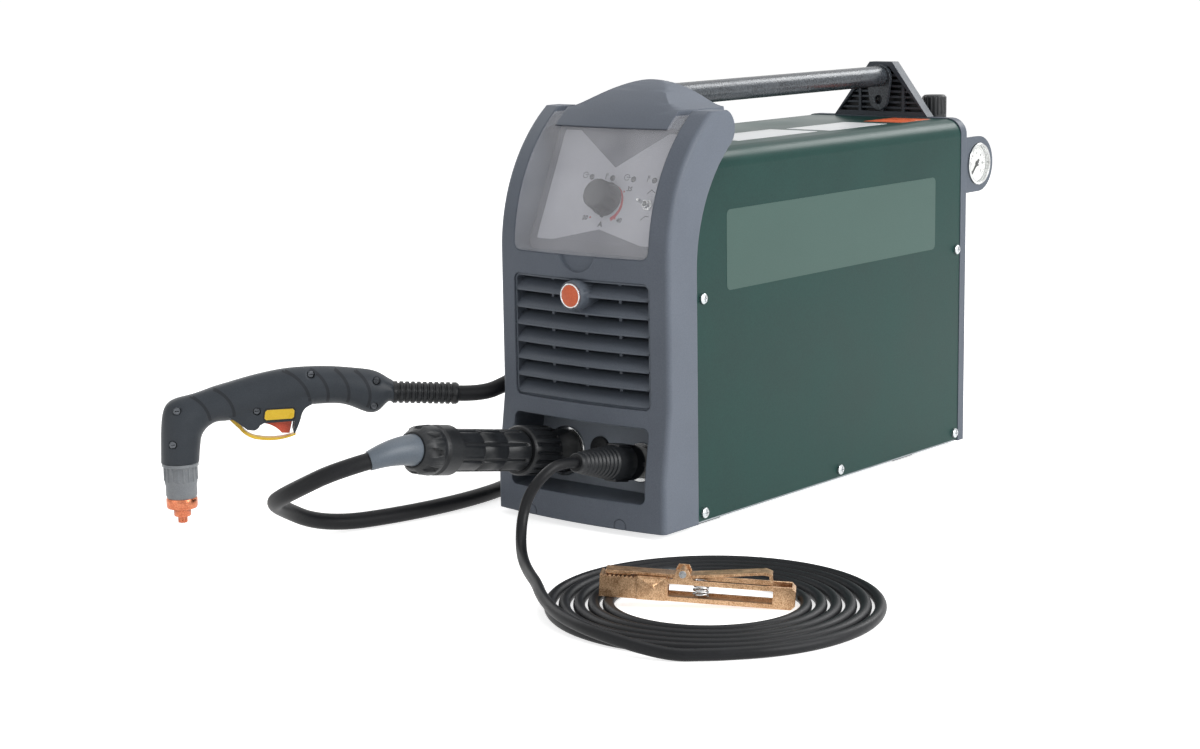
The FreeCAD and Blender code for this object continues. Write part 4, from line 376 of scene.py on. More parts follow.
def turnProfile(bm, profile, steps=64):
    # (radius, height) points turned about z
    verts = [bm.verts.new((r, 0, h)) for r, h in profile]
    edges = [bm.edges.new(pair) for pair in zip(verts, verts[1:])]
    bmesh.ops.spin(bm, geom=verts + edges, cent=(0, 0, 0), axis=(0, 0, 1),
                   angle=2 * math.pi, steps=steps, use_merge=True)
    bmesh.ops.remove_doubles(bm, verts=bm.verts, dist=0.001)
    bmesh.ops.recalc_face_normals(bm, faces=bm.faces)


def addPlate(bm, outline, z0, z1):
    # a flat outline with thickness, from z0 to z1
    face = bm.faces.new([bm.verts.new((x, y, z0)) for x, y in outline])
    grown = bmesh.ops.extrude_face_region(bm, geom=[face])
    tops = [v for v in grown["geom"] if isinstance(v, bmesh.types.BMVert)]
    bmesh.ops.translate(bm, verts=tops, vec=(0, 0, z1 - z0))
    bmesh.ops.recalc_face_normals(bm, faces=bm.faces)


def addBar(bm, x0, x1, y0, y1, z0, z1):
    addPlate(bm, [(x0, y0), (x1, y0), (x1, y1), (x0, y1)], z0, z1)


def roundedOutline(x0, x1, y0, y1, r, steps=6):
    # a rectangle whose corners have radius r
    points = []
    for cx, cy, start in ((x1 - r, y0 + r, -90), (x1 - r, y1 - r, 0),
                          (x0 + r, y1 - r, 90), (x0 + r, y0 + r, 180)):
        for i in range(steps + 1):
            a = math.radians(start + 90 * i / steps)
            points.append((cx + r * math.cos(a), cy + r * math.sin(a)))
    return points


def arcBand(bm, radius, wide0, wide1, start, end, z0, z1, steps=24):
    # a flat band on a circle whose width grows from wide0 to wide1
    inner, outer = [], []
    for i in range(steps + 1):
        a = math.radians(start + (end - start) * i / steps)
        half = (wide0 + (wide1 - wide0) * i / steps) / 2
        inner.append(((radius - half) * math.cos(a), (radius - half) * math.sin(a)))
        outer.append(((radius + half) * math.cos(a), (radius + half) * math.sin(a)))
    addPlate(bm, inner + outer[::-1], z0, z1)


def join(bm, other):
    # the second bmesh is added to the first
    mesh = bpy.data.meshes.new("part")
    other.to_mesh(mesh)
    other.free()
    bm.from_mesh(mesh)
    bpy.data.meshes.remove(mesh)


# Ink on the films: how far it is let in, how bold its letters are and how round
inkBase = {"sunk": 0.02, "bold": 0.03, "curveSteps": 4}


def inkHeights(look):
    return look["thick"] - inkBase["sunk"], look["thick"] + look["ink"]


def addWord(bm, word, x, y, size, z, lean=0.0):
    # a plain figure or letter, as flat ink
    curve = bpy.data.curves.new("figure", "FONT")
    curve.body = word
    curve.size = size
    curve.align_x = "CENTER"
    curve.align_y = "CENTER"
    curve.shear = lean
    curve.resolution_u = inkBase["curveSteps"]
    curve.offset = inkBase["bold"] * size
    holder = bpy.data.objects.new("figure", curve)
    bpy.context.scene.collection.objects.link(holder)
    bpy.context.view_layer.update()
    mesh = bpy.data.meshes.new_from_object(holder)
    mesh.transform(Matrix.Translation((x, y, z)))
    bm.from_mesh(mesh)
    bpy.data.objects.remove(holder)
    bpy.data.curves.remove(curve)
    bpy.data.meshes.remove(mesh)


# Cords. Their points are the route points of the solids, but the work lead hangs in a softer
# bend below its plug.
torchLead = {
    "radius": 7.0,
    "fromPlug": [
        (-54.0, -441.0, 85.7), (-68.0, -467.0, 80.0), (-90.0, -483.0, 67.0),
        (-117.0, -482.0, 54.0), (-142.0, -465.0, 43.0), (-156.0, -438.0, 30.0),
        (-159.0, -408.0, 15.0), (-152.0, -374.0, 7.5), (-139.0, -334.0, 7.0),
        (-129.0, -286.0, 7.0), (-126.0, -238.0, 7.0), (-131.0, -190.0, 7.0),
        (-149.0, -143.0, 7.0), (-180.0, -96.0, 7.0), (-216.0, -56.0, 7.0),
    ],
    "toTorch": [
        (-104.5, 6.0, 27.5), (-106.5, -38.0, 47.0), (-108.0, -82.0, 71.0),
        (-107.5, -122.0, 95.0), (-106.5, -153.0, 112.0), (-107.5, -185.5, 116.5),
        (-109.5, -210.5, 108.5),
    ],
    "coilCentre": (-209.5, 86.5),
    "coilRadius": 106.0,
    "coilPitch": 14.8,      # between one turn and the next
    "coilLayer": 14.6,      # from the lower layer to the upper one
    "coilStart": 225.0,
    "coilTurns": 5.625,
    "coilStepTurns": 0.5,   # the climb between the layers, as a part of a turn
    "coilRound": 0.12,
    "meetRun": 36.0,        # straight runs before and after the coil, and at the torch
    "leaveRun": 28.0,
    "reliefRun": 22.0,
    "reliefStart": (188.8, 0, 106.8),
    "reliefEnd": (247.4, 0, 102.8),
    "length": 4.04,
}
workLead = {
    "radius": 4.5,
    "plugEnd": (40.0, 0, 90.0),
    "fromPlug": [
        (36.2, -331.6, 65.9), (29.5, -342.5, 50.5), (28.5, -349.5, 33.5),
        (35.0, -359.5, 19.0), (47.5, -373.0, 10.5), (66.0, -390.5, 8.0),
        (92.0, -414.0, 9.0), (122.0, -441.0, 12.8), (158.0, -476.0, 14.7),
        (198.0, -504.0, 14.2), (243.0, -517.5, 12.5),
    ],
    "toClamp": [
        (202.6, -328.6, 5.4), (192.2, -340.4, 8.4), (185.3, -356.3, 12.6),
    ],
    "coilCentre": (245.0, -384.0),
    "coilRadius": 130.0,
    "coilPitch": 11.07,
    "coilStart": 310.0,
    "coilTurns": 5.42,
    "coilDraw": 3.0,        # the inner end is drawn in by this over its last part of a turn
    "coilDrawTurns": 0.25,
    "plugRun": 19.6,
    "meetRun": 30.0,
    "leaveRun": 9.0,
    "clampEntry": (39.0, 14.0, 9.0),
    "clampRun": 17.0,
    "length": 3.98,
}
cordMesh = {"pointsPerTurn": 24, "order": 3, "stepsAlong": 10, "stepsRound": 8}


def eased(share):
    # from 0 to 1 along half a cosine
    return (1 - math.cos(math.pi * min(1, max(0, share)))) / 2


def torchCoilPoint(turns):
    # in on the floor, out again on top
    half = torchLead["coilTurns"] / 2
    climb = torchLead["coilStepTurns"]
    soft = torchLead["coilRound"] ** 2
    inward = math.sqrt(half ** 2 + soft) - math.sqrt((turns - half) ** 2 + soft)
    r = torchLead["coilRadius"] - torchLead["coilPitch"] * inward
    a = math.radians(torchLead["coilStart"]) - 2 * math.pi * turns
    rise = torchLead["coilLayer"] * eased((turns - half + climb / 2) / climb)
    x, y = torchLead["coilCentre"]
    return Vector((x + r * math.cos(a), y + r * math.sin(a), torchLead["radius"] + rise))


def workCoilPoint(turns):
    # in on the floor, a little faster at the end
    late = (turns - workLead["coilTurns"]) / workLead["coilDrawTurns"] + 1
    r = workLead["coilRadius"] - workLead["coilPitch"] * turns
    r -= workLead["coilDraw"] * eased(late)
    a = math.radians(workLead["coilStart"]) + 2 * math.pi * turns
    x, y = workLead["coilCentre"]
    return Vector((x + r * math.cos(a), y + r * math.sin(a), workLead["radius"]))


def headingAt(coilPoint, turns, step=0.0005):
    return (coilPoint(turns + step) - coilPoint(turns - step)).normalized()


def woundPoints(coilPoint, turns, radius):
    # the turns, with a straight end of one diameter at each side
    count = math.ceil(turns * cordMesh["pointsPerTurn"])
    points = [coilPoint(0) - headingAt(coilPoint, 0) * (2 * radius)]
    points += [coilPoint(turns * i / count) for i in range(count + 1)]
    points.append(coilPoint(turns) + headingAt(coilPoint, turns) * (2 * radius))
    return points


def cordPoints(look, coilPoint, start, end):
    # from the plug to the coil, round it, and on to the far end
    coil = woundPoints(coilPoint, look["coilTurns"], look["radius"])
    meet = coil[0] - headingAt(coilPoint, 0) * look["meetRun"]
    leave = coil[-1] + headingAt(coilPoint, look["coilTurns"]) * look["leaveRun"]
    return start + [Vector(p) for p in look["fromPlug"]] + [meet] + coil + [leave] + end


def makeCord(name, points, radius, finish):
    data = bpy.data.curves.new(name, "CURVE")
    data.dimensions = "3D"
    spline = data.splines.new("NURBS")
    spline.points.add(len(points) - 1)
    for knot, p in zip(spline.points, points):
        knot.co = (p[0] * 0.001, p[1] * 0.001, p[2] * 0.001, 1)
    spline.order_u = cordMesh["order"]
    spline.use_endpoint_u = True
    data.resolution_u = cordMesh["stepsAlong"]
    data.bevel_depth = radius * 0.001
    data.bevel_resolution = cordMesh["stepsRound"]
    data.use_fill_caps = True
    data.materials.append(finishes[finish])
    cord = bpy.data.objects.new(name, data)
    bpy.context.scene.collection.objects.link(cord)
    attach(cord, "unit")
    return cord


def makeTorchLead():
    look = torchLead
    torch = toMillimetres @ torchPlace
    reliefEnd = torch @ Vector(look["reliefEnd"])
    leave = (reliefEnd - torch @ Vector(look["reliefStart"])).normalized()
    end = [Vector(p) for p in look["toTorch"]]
    end += [reliefEnd + leave * look["reliefRun"], reliefEnd]
    points = cordPoints(look, torchCoilPoint, [], end)
    cord = makeCord("torchLead", points, look["radius"], "sheathRubber")
    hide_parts("torch_lead_front", "torch_lead_coil", "torch_lead_rear")
    return cord


def makeWorkLead():
    look = workLead
    plate = toMillimetres @ platePlace
    clamp = toMillimetres @ clampPlace
    plugEnd, entry = Vector(look["plugEnd"]), Vector(look["clampEntry"])
    start = [plate @ plugEnd, plate @ (plugEnd + Vector((0, 0, look["plugRun"])))]
    end = [Vector(p) for p in look["toClamp"]]
    end += [clamp @ (entry + Vector((0, look["clampRun"], 0))), clamp @ entry]
    points = cordPoints(look, workCoilPoint, start, end)
    cord = makeCord("workLead", points, look["radius"], "sheathRubber")
    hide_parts("work_lead", "work_coil", "work_tail")
    return cord


torchCord = makeTorchLead()
workCord = makeWorkLead()
print("leads laid")


# Body, finish and record slot of every solid that keeps its shape
dressed = {
    "front_bezel": ("unit", "mouldedAbs", "bezel_plastic"),
    "front_grille": ("unit", "grilleAbs", "grille_plastic"),
    "badge_disc": ("unit", "inkOrange", "badge"),
    "window_cover": ("window", "smokedCoverPaintedReflection", "smoked_window"),
    "window_pins": ("unit", "zincScrew", "pin_steel"),
    "control_panel": ("unit", "overlayShade", "panel"),
    "panel_lamps": ("unit", "lampTint", "lamp"),
    "current_knob": ("knob", "nylonBlack", "knob"),
    "mode_switch": ("unit", "nickelPlate", "switch"),
    "mode_toggle": ("toggle", "nickelPlate", "toggle_steel"),
    "socket_plate": ("unit", "plateAbsPaintedLight", "plate_plastic"),
    "torch_socket": ("unit", "nickelPlate", "socket_metal"),
    "work_socket": ("unit", "nickelPlate", "socket_metal"),
    "remote_cap": ("unit", "capRubber", "cap_rubber"),
    "side_cover": ("unit", "powderGreen", "case_green"),
    "case_screws": ("unit", "zincScrew", "screw_steel"),
    "base_tray": ("unit", "zincSheet", "tray_steel"),
    "rubber_feet": ("unit", "capRubber", "foot_rubber"),
    "rear_frame": ("unit", "powderGrey", "frame_grey"),
    "rear_panel": ("unit", "powderGrey", "frame_grey"),
    "fan_frame": ("unit", "nylonBlack", "fan_plastic"),
    "fan_rotor": ("rotor", "nylonBlack", "fan_plastic"),
    "mains_switch": ("unit", "nylonBlack", "switch"),
    "mains_rocker": ("rocker", "nylonBlack", "rocker"),
    "mains_gland": ("unit", "nylonBlack", "plug_plastic"),
    "heat_sink": ("unit", "blastedAluminium", "sink_aluminium"),
    "power_board": ("unit", "boardLaminate", "board"),
    "rear_bracket": ("unit", "castEnamel", "bracket_alloy"),
    "handle_tube": ("unit", "hammertone", "handle_steel"),
    "handle_lug": ("unit", "hammertone", "handle_steel"),
    "regulator_body": ("unit", "blastedAluminium", "regulator_alloy"),
    "regulator_bowl": ("unit", "clearBowl", "bowl_clear"),
    "regulator_knob": ("air_knob", "nylonBlack", "knob"),
    "gauge_cheek": ("unit", "powderGrey", "frame_grey"),
    "gauge_case": ("unit", "nickelPlate", "gauge_metal"),
    "gauge_needle": ("needle", "nylonBlack", "needle"),
    "gauge_lens": ("unit", "gaugeGlass", "lens_glass"),
    "torch_shell_left": ("unit", "torchNylon", "torch_plastic"),
    "torch_shell_right": ("unit", "torchNylon", "torch_plastic"),
    "torch_cap": ("unit", "capCompound", "torch_cap_plastic"),
    "torch_tip": ("unit", "turnedCopper", "copper"),
    "torch_trigger": ("trigger", "triggerAcetal", "trigger_plastic"),
    "torch_safety": ("safety", "safetyAcetal", "safety_plastic"),
    "torch_screws": ("unit", "screwPaintedShade", "screw_steel"),
    "torch_relief": ("unit", "nylonBlack", "relief_rubber"),
    "plug_ring": ("ring", "nylonBlack", "plug_plastic"),
    "plug_body": ("unit", "nylonBlack", "plug_plastic"),
    "plug_nut": ("unit", "nylonBlack", "plug_plastic"),
    "plug_relief": ("unit", "reliefRubber", "relief_rubber"),
    "work_plug": ("work_connector", "nylonBlack", "plug_plastic"),
    "clamp_frame": ("unit", "clampBrass", "clamp_brass"),
    "clamp_lever": ("lever", "clampBrass", "clamp_brass"),
    "clamp_pin": ("unit", "zincScrew", "pin_steel"),
    "clamp_spring": ("unit", "zincScrew", "pin_steel"),
}
dressing = {
    "merge": 0.004,           # vertices closer than this are one
    "flat": 1.0,              # degrees below which faces are one flat face
    "smooth": 32,             # degrees below which an edge is shaded smooth
    "edgeRadius": {"front_bezel": 0.8},   # real rounded edges, where they show most
    "edgeSegments": 2,
    "edgeAngle": 40,
}


def dressNode(node, body, finish, slot):
    # a merged, smooth-shaded copy of a solid stands for it, on the body that it moves with
    look = dressing
    bm = bmesh.new()
    bm.from_mesh(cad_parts[node].data)
    bmesh.ops.remove_doubles(bm, verts=bm.verts, dist=look["merge"] * 0.001)
    bmesh.ops.dissolve_limit(bm, angle_limit=math.radians(look["flat"]), verts=bm.verts,
                             edges=bm.edges, use_dissolve_boundaries=False, delimit=set())
    piece = finishPiece(node + "_dressed", bm, Matrix.Identity(4), body, finish,
                        look["smooth"])
    if node in look["edgeRadius"]:
        edge = piece.modifiers.new("edgeRadius", "BEVEL")
        edge.width = look["edgeRadius"][node] * 0.001
        edge.segments = look["edgeSegments"]
        edge.limit_method = "ANGLE"
        edge.angle_limit = math.radians(look["edgeAngle"])
        edge.use_clamp_overlap = True
        weighted = piece.modifiers.new("faceNormals", "WEIGHTED_NORMAL")
        weighted.keep_sharp = True
    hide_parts(node)
    return piece


shown = {node: dressNode(node, *facts) for node, facts in dressed.items()}
print("solids dressed:", len(shown))


# Printed overlay under the smoked cover, in the panel's own plane
panelPrint = {
    "half": 66.0, "low": -38.8, "high": 61.5, "corner": 2.0,
    "back": 0.01, "thick": 0.2, "ink": 0.06,
    "wedgeHalf": 48.5, "wedgePoint": 29.0,
    "lowWedgeHalf": 48.0, "lowWedgePoint": -27.0,
    "dialCentre": (0.1, -3.1), "dialRadius": 16.9, "dialThin": 0.9, "dialThick": 3.4,
    "dialStart": 104, "dialEnd": -58,
    "dots": [(-13.2, -16.7), (16.1, 8.1), (13.7, -16.4)], "dotRadius": 0.9,
    "words": [                              # word, x, y, size and lean
        ("20", -18.9, -17.5, 5.6, 0.15), ("35", 21.0, 10.5, 5.6, 0.15),
        ("40", 18.4, -17.8, 5.6, 0.15), ("A", -0.3, -22.5, 7.0, 0.0),
    ],
    "lamps": (-1, 0, 1, 2), "lampPitch": 22.7, "lampRise": 19.5,
    "markShift": (-7.5, 1.4),               # from a lamp to the plain mark on its left
    "ring": (2.6, 0.5, 20, 340),            # radius, width, start and end
    "ringBars": [(-0.3, 4.2, 0.0, 0.5)],    # lowest and highest x, then y
    "tallBars": [(-0.3, 0.3, -2.8, 2.8), (1.2, 1.7, 0.2, 2.8)],
    "zigzags": [                            # above and below the toggle
        [(41.0, 7.5), (41.5, 7.2), (45.2, 10.7), (49.0, 8.5), (49.2, 9.0), (45.0, 11.5)],
        [(41.0, -16.0), (41.5, -16.3), (45.2, -12.8), (49.0, -13.0), (49.2, -12.5),
         (45.0, -12.0)],
    ],
}


def addLampMark(ink, lamp, z0, z1):
    # a broken ring with a bar, or two upright bars
    look = panelPrint
    x = lamp * look["lampPitch"] + look["markShift"][0]
    y = look["lampRise"] + look["markShift"][1]
    isRing = lamp % 2
    if isRing:
        radius, wide, start, end = look["ring"]
        ring = bmesh.new()
        arcBand(ring, radius, wide, wide, start, end, z0, z1, 20)
        bmesh.ops.translate(ring, verts=ring.verts, vec=(x, y, 0))
        join(ink, ring)
    for x0, x1, y0, y1 in look["ringBars" if isRing else "tallBars"]:
        addBar(ink, x + x0, x + x1, y + y0, y + y1, z0, z1)


def makePanelPrint():
    look = panelPrint
    film = bmesh.new()
    addPlate(film, roundedOutline(-look["half"], look["half"], look["low"], look["high"],
                                  look["corner"]), look["back"], look["thick"])
    finishPiece("panel_film", film, panelPlace, "unit", "overlayFilm")
    z0, z1 = inkHeights(look)
    shade = bmesh.new()
    addPlate(shade, [(-look["wedgeHalf"], look["high"]), (0, look["wedgePoint"]),
                     (look["wedgeHalf"], look["high"])], z0, z1)
    addPlate(shade, [(-look["lowWedgeHalf"], look["low"]), (look["lowWedgeHalf"], look["low"]),
                     (0, look["lowWedgePoint"])], z0, z1)
    finishPiece("panel_wedges", shade, panelPlace, "unit", "overlayShade")
    red = bmesh.new()
    arcBand(red, look["dialRadius"], look["dialThin"], look["dialThick"], look["dialStart"],
            look["dialEnd"], z0, z1)
    bmesh.ops.translate(red, verts=red.verts, vec=(*look["dialCentre"], 0))
    r = look["dotRadius"]
    for x, y in look["dots"]:
        addPlate(red, [(x + r * math.cos(a), y + r * math.sin(a))
                       for a in [math.pi * i / 6 for i in range(12)]], z0, z1)
    finishPiece("panel_red_ink", red, panelPlace, "unit", "inkRed")
    ink = bmesh.new()
    for word, x, y, size, lean in look["words"]:
        addWord(ink, word, x, y, size, z1, lean)
    for lamp in look["lamps"]:
        addLampMark(ink, lamp, z0, z1)
    for outline in look["zigzags"]:
        addPlate(ink, outline, z0, z1)
    finishPiece("panel_grey_ink", ink, panelPlace, "unit", "inkGrey")


makePanelPrint()


# Bare lighter patch on each side of the case
sidePatch = {
    "y0": -152.5, "y1": 185.5, "z0": 201.0, "z1": 270.0,
    "corner": 5.0, "thick": 0.15, "face": 92.0,
}


def makeSidePatches():
    look = sidePatch
    for side, name in ((1, "side_patch_right"), (-1, "side_patch_left")):
        film = bmesh.new()
        addPlate(film, roundedOutline(look["y0"], look["y1"], look["z0"], look["z1"],
                                      look["corner"]), 0.0, look["thick"])
        turn = Matrix(((0, 0, side, side * look["face"]), (side, 0, 0, 0), (0, 1, 0, 0),
                       (0, 0, 0, 1)))
        if side < 0:   # its outline runs the other way
            turn = turn @ Matrix.Scale(-1, 4, (1, 0, 0))
            bmesh.ops.reverse_faces(film, faces=film.faces)
        finishPiece(name, film, unitPlace @ turn, "unit", "labelFilm")


makeSidePatches()


# Plain labels on the case's top: lowest and highest x, then y, and the vinyl's finish
topLabels = {
    "face": 322.0, "thick": 0.2, "corner": 1.5,
    "places": {"top_label_front": (2.0, 55.0, -84.0, 40.0, "labelVinyl"),
               "top_label_middle": (11.0, 60.0, 52.0, 150.0, "labelVinyl"),
               "top_label_rear": (21.0, 64.0, 168.0, 222.0, "inkOrange")},
}


def makeTopLabels():
    look = topLabels
    for name, (x0, x1, y0, y1, finish) in look["places"].items():
        bm = bmesh.new()
        addPlate(bm, roundedOutline(x0, x1, y0, y1, look["corner"]), look["face"],
                 look["face"] + look["thick"])
        finishPiece(name, bm, unitPlace, "unit", finish)


makeTopLabels()
print("printed films laid")


def nodeCorners(name):
    # lowest and highest corner of a solid's box, in millimetres
    return [Vector(corner) * 1000 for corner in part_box(name)]


# Bright rim round the plain orange badge
badgeRim = {"wide": 1.3, "proud": 0.35, "outerEdge": 0.4, "innerEdge": 0.3}


def makeBadgeRim():
    look = badgeRim
    low, high = nodeCorners("badge_disc")
    outer = (high.x - low.x) / 2
    inner = outer - look["wide"]
    top = high.y - low.y + look["proud"]
    cut, dip = look["outerEdge"], look["innerEdge"]
    rim = bmesh.new()
    turnProfile(rim, [(inner, 0), (outer, 0), (outer, top - cut), (outer - cut, top),
                      (inner + dip, top), (inner, top - dip), (inner, 0)])
    place = unitPlace @ Matrix.Translation((0, high.y, (low.z + high.z) / 2))
    finishPiece("badge_rim", rim, place @ Matrix.Rotation(math.radians(90), 4, "X"), "unit",
                "nickelPlate")


makeBadgeRim()


# Dark sheet behind the bracket's lattice: painted shade, so that its slots show dark
bracketShadeSheet = {"inset": 2.0, "narrow": 12.0, "behind": 9.0, "thick": 1.0}


def makeBracketShadeSheet():
    look = bracketShadeSheet
    low, high = nodeCorners("rear_bracket")
    wide = high.x - look["inset"]
    z0, z1 = low.z + look["inset"], high.z - look["inset"]
    plate = bmesh.new()
    addPlate(plate, [(-wide, z0), (wide, z0), (look["narrow"], z1), (-look["narrow"], z1)],
             0, look["thick"])
    place = unitPlace @ Matrix.Translation((0, low.y + look["behind"], 0))
    finishPiece("bracket_shade_sheet", plate, place @ Matrix.Rotation(math.radians(90), 4, "X"),
                "unit", "nylonBlack")


makeBracketShadeSheet()
print("badge rimmed, bracket closed")


# Gauge: enamel dial with plain marks and figures, seen from the right
gaugeDial = {
    "radius": 17.4, "back": 4.45, "thick": 0.25, "ink": 0.06,
    "markOuter": 15.6, "longMark": 2.4, "shortMark": 1.3, "markWidth": 0.45,
    "start": 225, "sweep": 270, "marks": 31, "everyLong": 5,
    "figure": 3.0, "figureRadius": 10.6,
}


def makeGaugeDial():
    look = gaugeDial
    low, high = nodeCorners("gauge_case")
    place = unitPlace @ Matrix(((0, 0, 1, high.x - look["back"]), (1, 0, 0, (low.y + high.y) / 2),
                                (0, 1, 0, (low.z + high.z) / 2), (0, 0, 0, 1)))
    dial = bmesh.new()
    bmesh.ops.create_circle(dial, cap_ends=True, segments=72, radius=look["radius"])
    grown = bmesh.ops.extrude_face_region(dial, geom=dial.faces[:])
    bmesh.ops.translate(dial, vec=(0, 0, look["thick"]),
                        verts=[v for v in grown["geom"] if isinstance(v, bmesh.types.BMVert)])
    bmesh.ops.recalc_face_normals(dial, faces=dial.faces)
    finishPiece("gauge_dial", dial, place, "unit", "dialEnamel")
    ink = bmesh.new()
    z0, z1 = inkHeights(look)
    for i in range(look["marks"]):
        turn = look["start"] - look["sweep"] * i / (look["marks"] - 1)
        isLong = i % look["everyLong"] == 0
        inner = look["markOuter"] - look["longMark" if isLong else "shortMark"]
        half = look["markWidth"] / 2
        mark = bmesh.new()
        addBar(mark, inner, look["markOuter"], -half, half, z0, z1)
        bmesh.ops.rotate(mark, cent=(0, 0, 0), matrix=Matrix.Rotation(math.radians(turn), 3, "Z"),
                         verts=mark.verts)
        join(ink, mark)
        if isLong:
            a = math.radians(turn)
            addWord(ink, str(2 * i // look["everyLong"]), look["figureRadius"] * math.cos(a),
                    look["figureRadius"] * math.sin(a), look["figure"], z1)
    finishPiece("gauge_marks", ink, place, "unit", "inkGrey")


makeGaugeDial()
print("gauge dial marked")


# What lies on the torch handle; (s, z) along and above it, in the torch's own plane
torchTrim = {
    "reach": 40.0,          # how far beside the handle the pieces start before they are laid on
    "bandWidth": 2.6,
    "bandLift": 0.1,
    "bandDepth": 0.6,
    "bands": [              # top, side and low point of each band's arc
        ((8.3, 114.0), (21.7, 107.4), (29.4, 91.0)),
        ((33.3, 118.0), (43.5, 111.7), (49.9, 93.5)),
        ((92.9, 131.6), (107.1, 123.4), (115.7, 104.7)),
        ((117.2, 131.6), (129.5, 119.6), (130.9, 102.6)),
        ((138.4, 130.8), (146.9, 121.5), (148.2, 101.1)),
        ((155.6, 129.0), (164.2, 120.7), (165.4, 96.1)),
    ],
    "plate": [(75.7, 89.5), (101.3, 90.2), (102.1, 98.9), (77.0, 98.4)],
    "plateCorner": 1.6,
    "plateLift": 0.45,
    "plateDepth": 1.0,
    "rimWidth": 1.3,
    "rimLift": 0.25,
    "bandSmooth": 50,
}


def surfaceTree(names):
    # a search tree over the CAD meshes of these nodes
    bm = bmesh.new()
    for name in names:
        bm.from_mesh(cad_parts[name].data)
    tree = BVHTree.FromBMesh(bm)
    bm.free()
    return tree


torchSurface = surfaceTree(["torch_shell_left", "torch_shell_right"])


def layOnTorch(bm, side, lift, depth):
    # points (s, z) beside the torch are pushed onto its surface, and given a thickness
    look = torchTrim
    inward = (torchPlace.to_3x3() @ Vector((0, -side, 0))).normalized()
    missed = []
    for vert in bm.verts:
        start = torchPlace @ Vector((vert.co.x, side * look["reach"], vert.co.y))
        spot, normal, index, far = torchSurface.ray_cast(start, inward, look["reach"] * 0.001)
        if spot is None:
            missed.append(vert)
        else:
            vert.co = spot + normal * (lift * 0.001)
    bmesh.ops.delete(bm, geom=missed, context="VERTS")
    bmesh.ops.recalc_face_normals(bm, faces=bm.faces)
    outward = sum((face.normal for face in bm.faces), Vector())
    if outward.dot(inward) > 0:
        bmesh.ops.reverse_faces(bm, faces=bm.faces)
    bmesh.ops.solidify(bm, geom=bm.faces[:], thickness=depth * 0.001)
    bmesh.ops.recalc_face_normals(bm, faces=bm.faces)


def circleThrough(a, b, c):
    # centre of the circle through three points
    (ax, ay), (bx, by), (cx, cy) = a, b, c
    d = 2 * (ax * (by - cy) + bx * (cy - ay) + cx * (ay - by))
    x = ((ax * ax + ay * ay) * (by - cy) + (bx * bx + by * by) * (cy - ay)
         + (cx * cx + cy * cy) * (ay - by)) / d
    y = ((ax * ax + ay * ay) * (cx - bx) + (bx * bx + by * by) * (ax - cx)
         + (cx * cx + cy * cy) * (bx - ax)) / d
    return x, y


def torchBands(side):
    # each band is a grid bent round the circle through its three points
    look = torchTrim
    bands = bmesh.new()
    for top, middle, foot in look["bands"]:
        x, y = circleThrough(top, middle, foot)
        radius = math.dist((x, y), middle)
        first = math.atan2(top[1] - y, top[0] - x)
        last = math.atan2(foot[1] - y, foot[0] - x)
        band = bmesh.new()
        bmesh.ops.create_grid(band, x_segments=28, y_segments=2, size=0.5)
        for vert in band.verts:
            a = first + (last - first) * (vert.co.x + 0.5)
            r = radius + look["bandWidth"] * vert.co.y
            vert.co = (x + r * math.cos(a), y + r * math.sin(a), 0)
        join(bands, band)
    layOnTorch(bands, side, look["bandLift"], look["bandDepth"])
    return bands


def torchPlate(side, grow, lift):
    # four corners, grown outwards, each cut off short
    corners = torchTrim["plate"]
    cut = torchTrim["plateCorner"]
    middle = [sum(p[i] for p in corners) / 4 for i in (0, 1)]
    points = []
    for at, corner in enumerate(corners):
        here = [corner[i] + math.copysign(grow, corner[i] - middle[i]) for i in (0, 1)]
        for other in (corners[at - 1], corners[(at + 1) % 4]):
            way = Vector((other[0] - corner[0], other[1] - corner[1])).normalized()
            points.append((here[0] + cut * way.x, here[1] + cut * way.y))
    plate = bmesh.new()
    plate.faces.new([plate.verts.new((x, y, 0)) for x, y in points])
    layOnTorch(plate, side, lift, torchTrim["plateDepth"])
    return plate


def makeTorchTrim():
    look = torchTrim
    whole = Matrix.Identity(4)   # these are laid on the torch in metres already
    for side, tail in ((1, "left"), (-1, "right")):
        finishPiece("torch_bands_" + tail, torchBands(side), whole, "unit", "bandRubber",
                    look["bandSmooth"])
        finishPiece("torch_plate_" + tail, torchPlate(side, 0, look["plateLift"]), whole,
                    "unit", "plateYellow")
        finishPiece("torch_plate_rim_" + tail,
                    torchPlate(side, look["rimWidth"], look["rimLift"]), whole,
                    "unit", "nylonBlack")


makeTorchTrim()
print("torch trimmed")


# Pale floor that takes a soft shadow, and plain studio light; all in metres
studio = {
    "floorSize": 60.0,
    "floorColor": "#f2f2f1",
    "floorRough": 0.9,
    "floorShine": 0.1,
    "floorGlow": 0.72,      # added to the floor only where it is seen
    "worldLevel": 0.32,     # the surroundings' light on the object
    "worldSeen": 1.0,       # and where they are seen
    "white": "#ffffff",
    "lamps": [              # name, place, aimed at, size, watts
        ("sideSoftbox", (2.6, 0.1, 1.3), (0, 0, 0.15), 1.8, 66),
        ("overheadSoftbox", (0.1, 0.8, 2.6), (0, 0.1, 0.1), 2.2, 16),
        ("frontSoftbox", (-0.6, -2.8, 1.0), (0, -0.2, 0.15), 1.8, 8),
        ("leftSoftbox", (-2.4, 0.4, 1.2), (0, 0, 0.2), 1.6, 12),
        ("rearSoftbox", (0.5, 2.3, 1.7), (0, 0, 0.3), 1.0, 22),
    ],
}


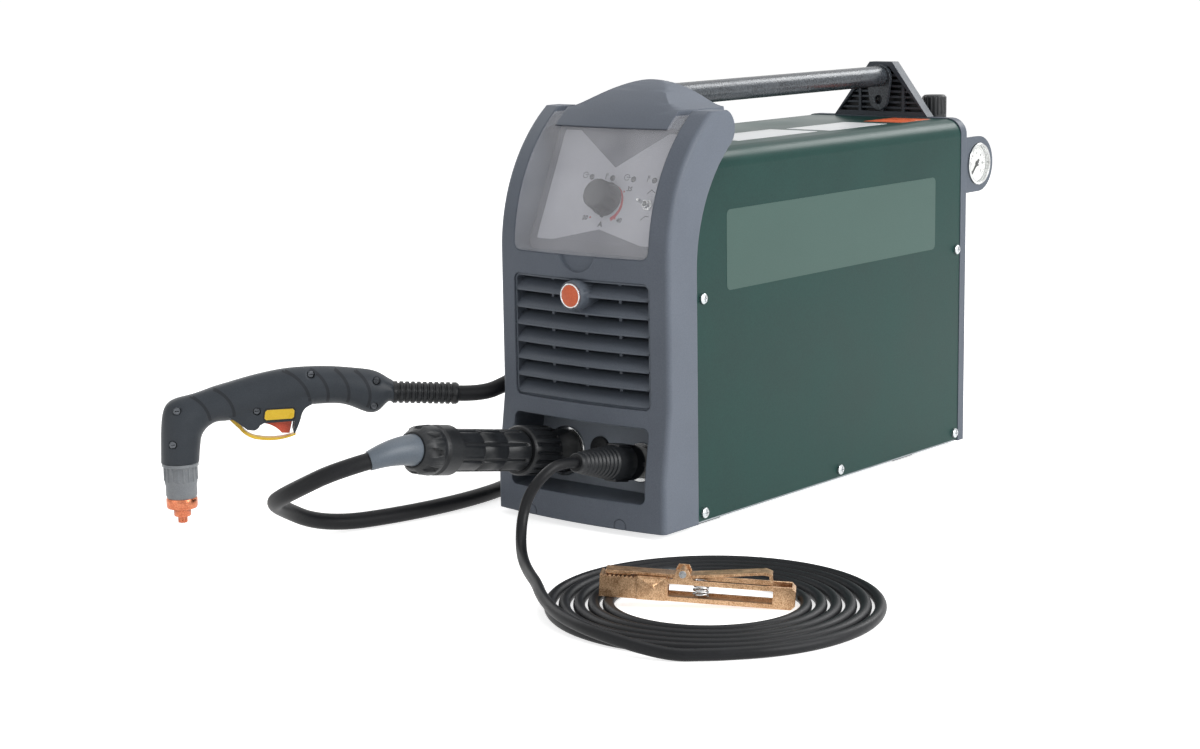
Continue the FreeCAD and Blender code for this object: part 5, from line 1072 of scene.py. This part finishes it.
def seenDirectly(tree):
    # 1 for what the camera, a reflection or clear plastic shows, 0 for light on the object
    rays = addNode(tree, "LightPath")
    seen = addNode(tree, "Math", links={0: rays.outputs["Is Camera Ray"],
                                        1: rays.outputs["Is Glossy Ray"]}, operation="MAXIMUM")
    seen = addNode(tree, "Math", links={0: seen.outputs[0],
                                        1: rays.outputs["Is Transmission Ray"]},
                   operation="MAXIMUM")
    return seen.outputs[0]


def floorSurface():
    # matt paint with a glow of its own, which lights nothing
    material, tree, shader = newSurface("paleFloor")
    shader.inputs["Base Color"].default_value = linear(studio["floorColor"])
    shader.inputs["Roughness"].default_value = studio["floorRough"]
    shader.inputs["Specular IOR Level"].default_value = studio["floorShine"]
    share = addNode(tree, "Math", {1: studio["floorGlow"]}, {0: seenDirectly(tree)},
                    operation="MULTIPLY")
    glow = addNode(tree, "Emission", {"Color": linear(studio["white"])},
                   {"Strength": share.outputs[0]})
    both = addNode(tree, "AddShader", links={0: shader.outputs["BSDF"],
                                             1: glow.outputs["Emission"]})
    tree.links.new(both.outputs["Shader"], tree.nodes["Material Output"].inputs["Surface"])
    return material


def makeFloor():
    bm = bmesh.new()
    bmesh.ops.create_grid(bm, x_segments=1, y_segments=1, size=studio["floorSize"] / 2)
    mesh = bpy.data.meshes.new("studioFloor")
    bm.to_mesh(mesh)
    bm.free()
    mesh.materials.append(floorSurface())
    floor = bpy.data.objects.new("studioFloor", mesh)
    bpy.context.scene.collection.objects.link(floor)


def makeWorld():
    world = bpy.data.worlds.new("studioWorld")
    bpy.context.scene.world = world
    world.use_nodes = True
    sky = world.node_tree
    back = sky.nodes["Background"]
    back.inputs["Color"].default_value = linear(studio["white"])
    level = addNode(sky, "MapRange", {"To Min": studio["worldLevel"],
                                      "To Max": studio["worldSeen"]},
                    {"Value": seenDirectly(sky)})
    sky.links.new(level.outputs["Result"], back.inputs["Strength"])


def makeLamps():
    for name, place, aim, size, watts in studio["lamps"]:
        data = bpy.data.lights.new(name, "AREA")
        data.shape = "SQUARE"
        data.size = size
        data.energy = watts
        lamp = bpy.data.objects.new(name, data)
        lamp.location = place
        lamp.rotation_euler = (Vector(aim) - Vector(place)).to_track_quat("-Z", "Y").to_euler()
        bpy.context.scene.collection.objects.link(lamp)


makeFloor()
makeWorld()
makeLamps()
bpy.context.scene.view_settings.view_transform = "Standard"
print("studio lit")
